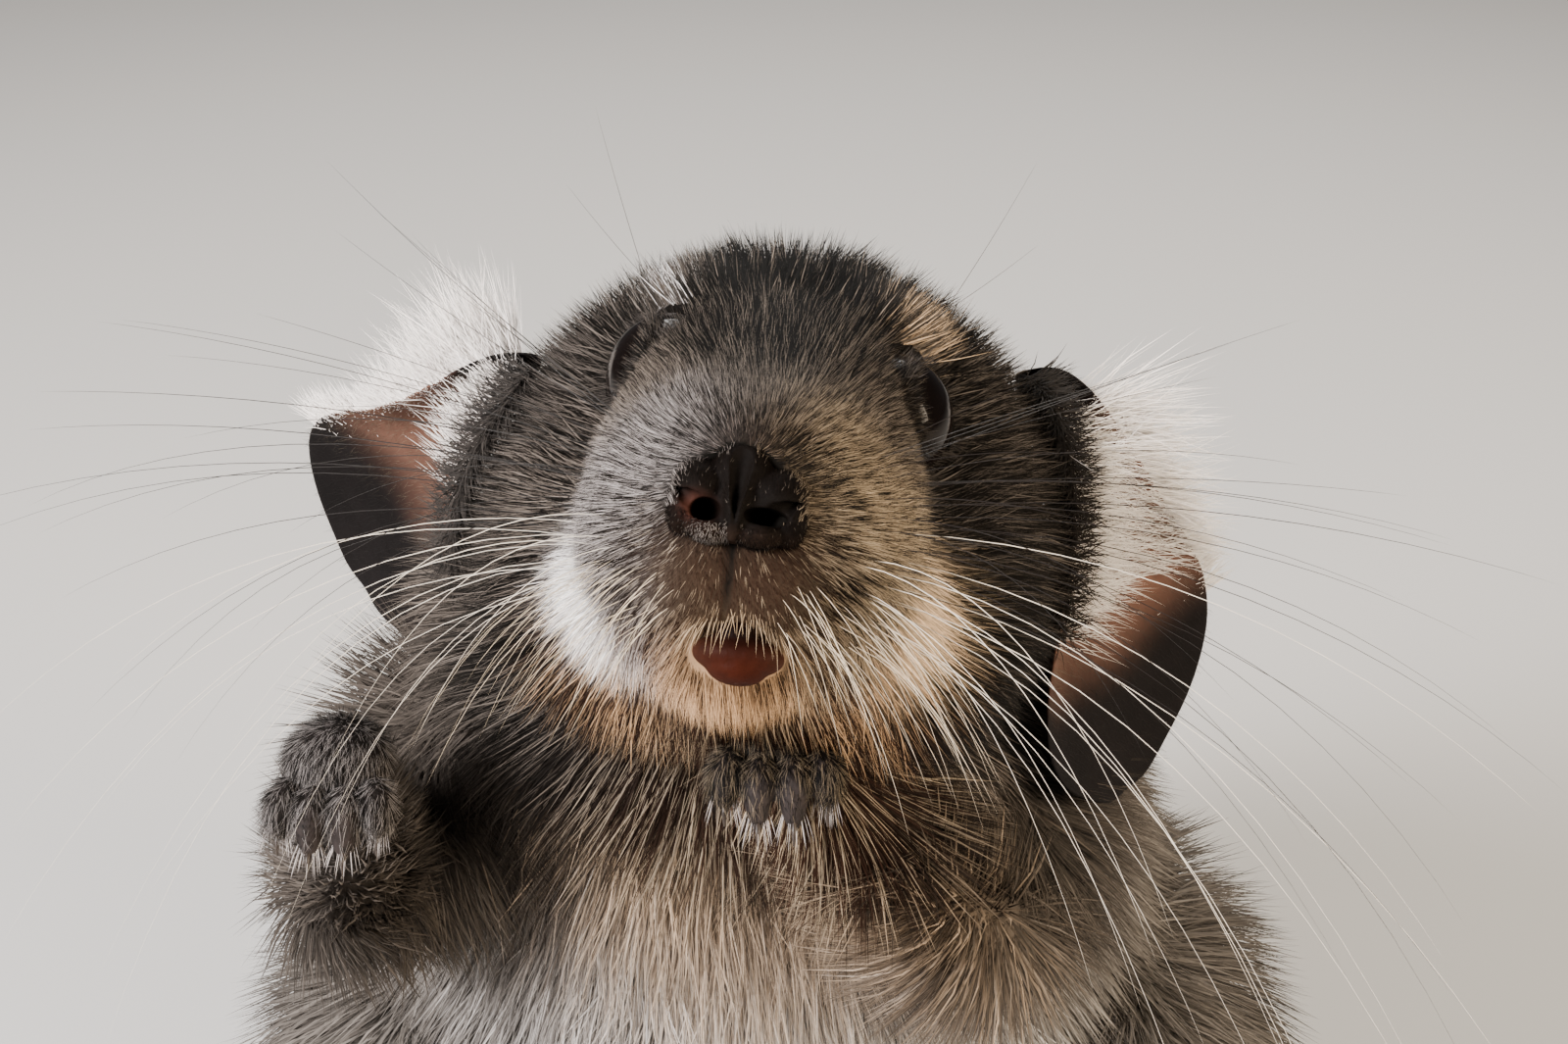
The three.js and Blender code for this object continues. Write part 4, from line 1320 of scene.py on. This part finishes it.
class CHINCHILLA_OT_ear_fluff(bpy.types.Operator):
    """Long white down at the root and the outer edge of each ear"""

    bl_idname = "chinchilla.ear_fluff"
    bl_label = "Ear fluff"

    def execute(self, context):
        finish = marked_material("ear_down", 0.6, 0.15, 900)
        for name, side in SIDES:
            draw = np.random.default_rng(31 if side > 0 else 37)
            matrix = ear_matrix(name)
            outer = math.pi if side > 0 else 0.0
            rows = [self.down(draw, name, side, matrix, outer, number % 4 == 0) for number in range(EAR_DOWN)]
            for _ in range(EAR_MARGIN):
                along, around = draw.uniform(0.03, 0.5), math.pi - outer + draw.normal(0, 0.3)
                root = moved(ear_point(np.array([along]), np.array([around])), matrix)[0]
                across = -side * draw.uniform(-0.9, 0.9)
                way = np.array([across, draw.uniform(-0.2, 0.5), draw.uniform(0.2, 0.9)])
                tone = np.array(ASH) * draw.uniform(0.08, 1.1 if side < 0 else 0.6)
                length, width = draw.uniform(3, 6), draw.uniform(0.1, 0.16)
                rows.append((root, matrix[:3, :3] @ way, -0.25 * matrix[:3, 2], length, width, tone))
            loose_hairs(f"ear_down_{name}", rows, finish, 3)
        return {"FINISHED"}

    def down(self, draw, name, side, matrix, outer, on_edge):
        """One white hair, on the outer edge or at the root."""
        toward, low, high = EAR_TUFTS[name]
        if on_edge:
            along, around = draw.uniform(0.22, 0.6), outer + draw.normal(0, 0.3)
            way = np.array([-side * draw.uniform(0.4, 1), draw.uniform(-0.5, 0.1), draw.uniform(0, 0.5)])
            heading = matrix[:3, :3] @ way
            length = draw.uniform(2.5, 4.5)
        else:
            along, around = draw.uniform(low, high), outer + side * draw.uniform(-2.7, -0.15)
            heading = np.array(toward) + draw.normal(0, 0.24, 3)
            length = draw.uniform(6, 12) * (1.2 - 0.6 * (along - low) / (high - low))
        root = moved(ear_point(np.array([along]), np.array([around])), matrix)[0]
        tone = np.array(DOWN) * draw.uniform(0.7, 1.05)
        bend = (0, 0.05, -draw.uniform(0, 0.25))
        return root, heading, bend, length, draw.uniform(0.09, 0.14), tone


def nose_tones(local, leather):
    """Leather, browner under the nostrils and red brown inside the one that the light reaches."""
    leather = np.tile(np.array(leather), (len(local), 1))
    low = np.clip((-2.8 - local[:, 2]) / 1.6, 0, 1)[:, None]
    leather = leather * (1 - low) + np.array([0.016, 0.009, 0.006]) * low
    # Red brown inside the left nostril only, where the light reaches into it: painted light.
    lit_nostril = np.exp(-(((local - (-3.1, -35.2, -1.9)) / (1.1, 1.8, 1.0)) ** 2).sum(1))[:, None]
    return leather * (1 - lit_nostril) + np.array([0.045, 0.016, 0.011]) * lit_nostril


class CHINCHILLA_OT_nose(bpy.types.Operator):
    """Nose leather with curled nostrils"""

    bl_idname = "chinchilla.nose"
    bl_label = "Nose"

    def execute(self, context):
        forms = [
            ellipsoid("nose_base", (0.2, -33.2, -0.8), (4.9, 3.0, 3.5), HEAD),
            ellipsoid("septum", (0, -35.3, -0.8), (1.1, 1.9, 3.4), HEAD),
            ellipsoid("crest", (0, -34.3, 1.2), (2.3, 2.3, 2.5), HEAD),
        ]
        path = ((0, -37.2, 4.6), (0, -37.1, 1), (0, -36.8, -2.2))
        tools = [
            ellipsoid("groove", (0.1, -37.9, -3.4), (0.22, 1.7, 4.2), HEAD),
            limb("cleft", path, (1.5, 1.0, 0.3), (1.7, 1.4, 0.8), matrix=HEAD),
        ]
        for _, side in SIDES:
            forms.append(ellipsoid("wing", (3.0 * side, -34.1, -0.3), (2.2, 2.5, 2.2), HEAD))
            forms.append(ellipsoid("rim", (1.9 * side, -34.6, -3.2), (1.9, 1.8, 1.2), HEAD))
            forms.append(ellipsoid("side", (4.1 * side, -33.4, -1.9), (1.4, 2.2, 2.2), HEAD))
            path = ((0.9, -37.3, -2.5), (2.0, -36.9, -2.2), (3.4, -36.1, -1.5), (4.7, -34.9, -0.4))
            path = [(x * side, y, z) for x, y, z in path]
            tools.append(limb("nostril", path, (0.5, 0.75, 0.7, 0.5), (0.6, 0.9, 0.8, 0.5), matrix=HEAD))
            hole = (1.25, 2.6, 0.95) if side < 0 else (1.8, 2.6, 0.7)
            tools.append(ellipsoid("nostril_hole", (2.3 * side, -35.2, -2.0), hole, HEAD))
        nose = remeshed(joined("nose", forms), NOSE_VOXELS[0], 9)
        nose = remeshed(cut(nose, tools), NOSE_VOXELS[1], 3)
        local = moved(coordinates(nose) / MM, HEAD_BACK)
        give_colour(nose, nose_tones(local, context.scene.chinchilla_colours.nose))
        finish = marked_material("nose_leather", 0.75, 0.05, 2600, 0.12)
        finished(unwrapped(nose), finish)
        self.fuzz(nose)
        return {"FINISHED"}

    def fuzz(self, nose):
        """Velvet of very short hairs over the nose, apart from the nostrils and the cleft."""

        def density(centre, facing):
            local = moved(centre, HEAD_BACK)
            x, z = np.abs(local[:, 0]), local[:, 2]
            nostril = ((x - 2.5) / 2.1) ** 2 + ((z + 1.7 - 0.25 * (x - 2.5)) / 1.1) ** 2 < 1
            cleft = x < 0.35 + 0.1 * np.clip(z + 2, 0, 5)
            return NOSE_VELVET * ~(nostril | cleft)

        roots, outward, places, draw = scattered(nose, density, 71)
        local = moved(roots, HEAD_BACK)
        count = len(roots)
        way = unit(0.7 * outward + 0.7 * turned((0, 0.5, 1)) * np.sign(local[:, 2] + 2)[:, None])
        way = unit(way + 0.2 * draw.normal(size=(count, 3)))
        # A patch of pale hairs under the left nostril: painted highlight. The pale rim hairs are real, but
        # silver on the left and tan on the right: painted cool and warm light.
        nostril_sheen = np.exp(-(((local - (-1.7, -35.5, -3.8)) / (1.6, 3, 1.1)) ** 2).sum(1))
        rim = ((local[:, 0] / 5) ** 2 + ((local[:, 2] + 0.6) / 3.7) ** 2 - 0.62) / 0.5
        rim = np.clip(rim, 0, 1) * (local[:, 2] > -2)
        light = draw.uniform(size=count) < 0.03 + 0.75 * nostril_sheen + 0.3 * rim
        pale = np.array(DUSK) * 0.6 + np.array(SILVER) * 0.35 * nostril_sheen[:, None]
        pale = pale + rim[:, None] * np.where(local[:, :1] < 0, np.array(SILVER), np.array(TAN)) * 0.5
        tone = np.where(light[:, None], pale, np.array((0.0034, 0.002, 0.0013)))
        tones = [tone * draw.uniform(0.6, 1.3, count)[:, None]] * 3
        finish = marked_material("nose_hair", 0.7, 0.05, 1400)
        length = draw.uniform(0.3, 0.55, count) * (1 + 0.9 * rim)
        width = draw.uniform(0.05, 0.07, count)
        bend = -0.3 * outward
        strands("nose_hair", roots, outward, way, bend, length, width, places, tones, (0, 1), finish, "coat")


LIP_SHADE = (0.004, 0.0014, 0.001)
LIP_EDGE = (0.03, 0.011, 0.006)


class CHINCHILLA_OT_mouth(bpy.types.Operator):
    """Lower lip, dark red and moist"""

    bl_idname = "chinchilla.mouth"
    bl_label = "Mouth"

    def execute(self, context):
        forms = [
            ellipsoid("lip_middle", np.array(LOWER_LIP) + (0, 0.8, -0.3), (3.7, 2.4, 1.7), HEAD),
            ellipsoid("lip_peak", np.array(LOWER_LIP) + (-0.3, 1.0, 1.2), (1.8, 2.0, 1.3), HEAD),
            ellipsoid("lip_low", np.array(LOWER_LIP) + (0, 0.9, -1.2), (2.5, 2.3, 1.5), HEAD),
        ]
        lip = remeshed(joined("lower_lip_skin", forms), LIP_VOXEL, 6)
        local = moved(coordinates(lip) / MM, HEAD_BACK) - LOWER_LIP
        # The top of the lower lip, under the upper lip, goes to a near black: painted shade.
        high = np.clip((local[:, 2] + 1.2) / 2.4, 0, 1)[:, None]
        rim = np.clip(np.abs(local[:, 0]) / 3.8, 0, 1)[:, None] ** 3
        red, dark = np.array(context.scene.chinchilla_colours.lip), np.array(LIP_SHADE)
        tan = np.array(LIP_EDGE)
        tone = red * (1 - high) + dark * high
        give_colour(lip, tone * (1 - rim) + tan * rim)
        finish = marked_material("lip_skin", 0.6, 0.04, 1500, 0.2)
        finished(unwrapped(lip), finish, ["lower_lip"])
        return {"FINISHED"}


class CHINCHILLA_OT_eyes(bpy.types.Operator):
    """Glossy dark eyes"""

    bl_idname = "chinchilla.eyes"
    bl_label = "Eyes"

    def execute(self, context):
        darkest = context.scene.chinchilla_colours.eye
        finish = mottled_material("eye_gloss", 0.06, 0.12, 260, darkest, (0.005, 0.0032, 0.0026))
        lashes = marked_material("lid_hair", 0.65, 0.05, 1400)
        for name, side in SIDES:
            eye = ellipsoid(f"eyeball_{name}", eye_place(side), (EYE_RADIUS,) * 3, HEAD, 64, 48)
            finished(smoothed(eye), finish, [f"eye_{name}"])
            self.lid_hairs(name, side, lashes)
        return {"FINISHED"}

    def lid_hairs(self, name, side, finish):
        """Short dark hairs that stand round the lids and break the eye's edge."""
        draw = np.random.default_rng(83 if side > 0 else 89)
        turn = eye_turn(side)
        rows = []
        for _ in range(LID_HAIRS):
            around = draw.uniform(0, 2 * math.pi)
            spread = math.radians(draw.uniform(50, 76))
            ring = np.array([math.cos(around), LID_SQUASH * math.sin(around), 0])
            root = (EYE_RADIUS + 0.9) * (ring * math.sin(spread) + (0, 0, math.cos(spread)))
            lean = draw.uniform(-0.3, 0.5)
            way = ring * lean + (0, 0, 1) + draw.normal(0, 0.2, 3)
            root = placed(turn @ root + eye_place(side))
            tone = np.array(ASH) * draw.uniform(0.08, 1.3)
            bend = turned(turn @ ring) * 0.3
            length = draw.uniform(0.9, 2.1)
            rows.append((root, turned(turn @ way), bend, length, draw.uniform(0.06, 0.1), tone))
        loose_hairs(f"lid_hairs_{name}", rows, finish, 3)


LIGHTS = (  # name, place in metres, size, power, colour
    ("key", (-0.5, -0.42, 0.52), 0.24, 22, (1, 0.955, 0.94)),
    ("fill", (0.6, -0.36, 0.36), 0.3, 11, (1, 0.84, 0.64)),
    ("rim", (0.05, 0.5, 0.7), 0.4, 6, (1, 0.97, 0.93)),
)
LIGHTS_AIM = (0, -0.05, 0.12)
SKY = (0.8, 0.82, 0.85, 1)
SKY_STRENGTH = 0.13
FLOOR_TONE = (0.5, 0.49, 0.475, 1)
CAMERA_PLACE = (0.0013, -0.2286, 0.2422)
CAMERA_PITCH = 62  # degrees up from straight down
SENSOR = 36
FOCAL_PIXELS = 2254
PHOTO_WIDTH = 1600


class CHINCHILLA_OT_stage(bpy.types.Operator):
    """Floor, lights and camera"""

    bl_idname = "chinchilla.stage"
    bl_label = "Stage"

    def execute(self, context):
        bpy.ops.object.select_all(action="DESELECT")
        bpy.ops.mesh.primitive_plane_add(size=6)
        floor = context.active_object
        floor.name = "floor"
        finish, tree, shader = material("floor_pale", 0.8, 0.2)
        shader.inputs["Base Color"].default_value = FLOOR_TONE
        floor.data.materials.append(finish)
        for name, place, size, power, colour in LIGHTS:
            bpy.ops.object.light_add(type="AREA", location=place)
            lamp = context.active_object
            lamp.name = name
            lamp.data.size = size
            lamp.data.energy = power
            lamp.data.color = colour
            aim = Vector(LIGHTS_AIM) - Vector(place)
            lamp.rotation_euler = aim.to_track_quat("-Z", "Y").to_euler()
        world = bpy.data.worlds.new("studio")
        world.use_nodes = True
        background = world.node_tree.nodes["Background"]
        background.inputs["Color"].default_value = SKY
        background.inputs["Strength"].default_value = SKY_STRENGTH
        context.scene.world = world
        bpy.ops.object.camera_add(location=CAMERA_PLACE, rotation=(math.radians(CAMERA_PITCH), 0, 0))
        camera = context.active_object
        camera.data.sensor_width = SENSOR
        camera.data.lens = SENSOR * FOCAL_PIXELS / PHOTO_WIDTH
        camera.data.clip_start = 0.005
        context.scene.camera = camera
        return {"FINISHED"}


OPERATORS = (
    CHINCHILLA_OT_skin,
    CHINCHILLA_OT_coat,
    CHINCHILLA_OT_forepaws,
    CHINCHILLA_OT_hind_feet,
    CHINCHILLA_OT_ears,
    CHINCHILLA_OT_nose,
    CHINCHILLA_OT_mouth,
    CHINCHILLA_OT_whiskers,
    CHINCHILLA_OT_lip_hairs,
    CHINCHILLA_OT_ear_fluff,
    CHINCHILLA_OT_eyes,
    CHINCHILLA_OT_stage,
)


class CHINCHILLA_PT_panel(bpy.types.Panel):
    """Lists the pieces of the chinchilla"""

    bl_label = "Chinchilla"
    bl_idname = "CHINCHILLA_PT_panel"
    bl_space_type = "VIEW_3D"
    bl_region_type = "UI"
    bl_category = "Chinchilla"

    def draw(self, context):
        for key, group in GROUPS.items():
            settings = getattr(context.scene, key)
            for name in group.__annotations__:
                self.layout.prop(settings, name)
        for operator in OPERATORS:
            self.layout.operator(operator.bl_idname)


GROUPS = {
    "chinchilla_coat": ChinchillaCoat,
    "chinchilla_whiskers": ChinchillaWhiskers,
    "chinchilla_colours": ChinchillaColours,
}
CLASSES = (*GROUPS.values(), *OPERATORS, CHINCHILLA_PT_panel)


def register():
    for item in CLASSES:
        bpy.utils.register_class(item)
    for key, group in GROUPS.items():
        setattr(bpy.types.Scene, key, bpy.props.PointerProperty(type=group))


def unregister():
    for key in GROUPS:
        delattr(bpy.types.Scene, key)
    for item in reversed(CLASSES):
        bpy.utils.unregister_class(item)


def main():
    register()
    bpy.ops.object.select_all(action="DESELECT")
    for operator in OPERATORS:
        group, name = operator.bl_idname.split(".")
        getattr(getattr(bpy.ops, group), name)()


if __name__ == "__main__":
    main()
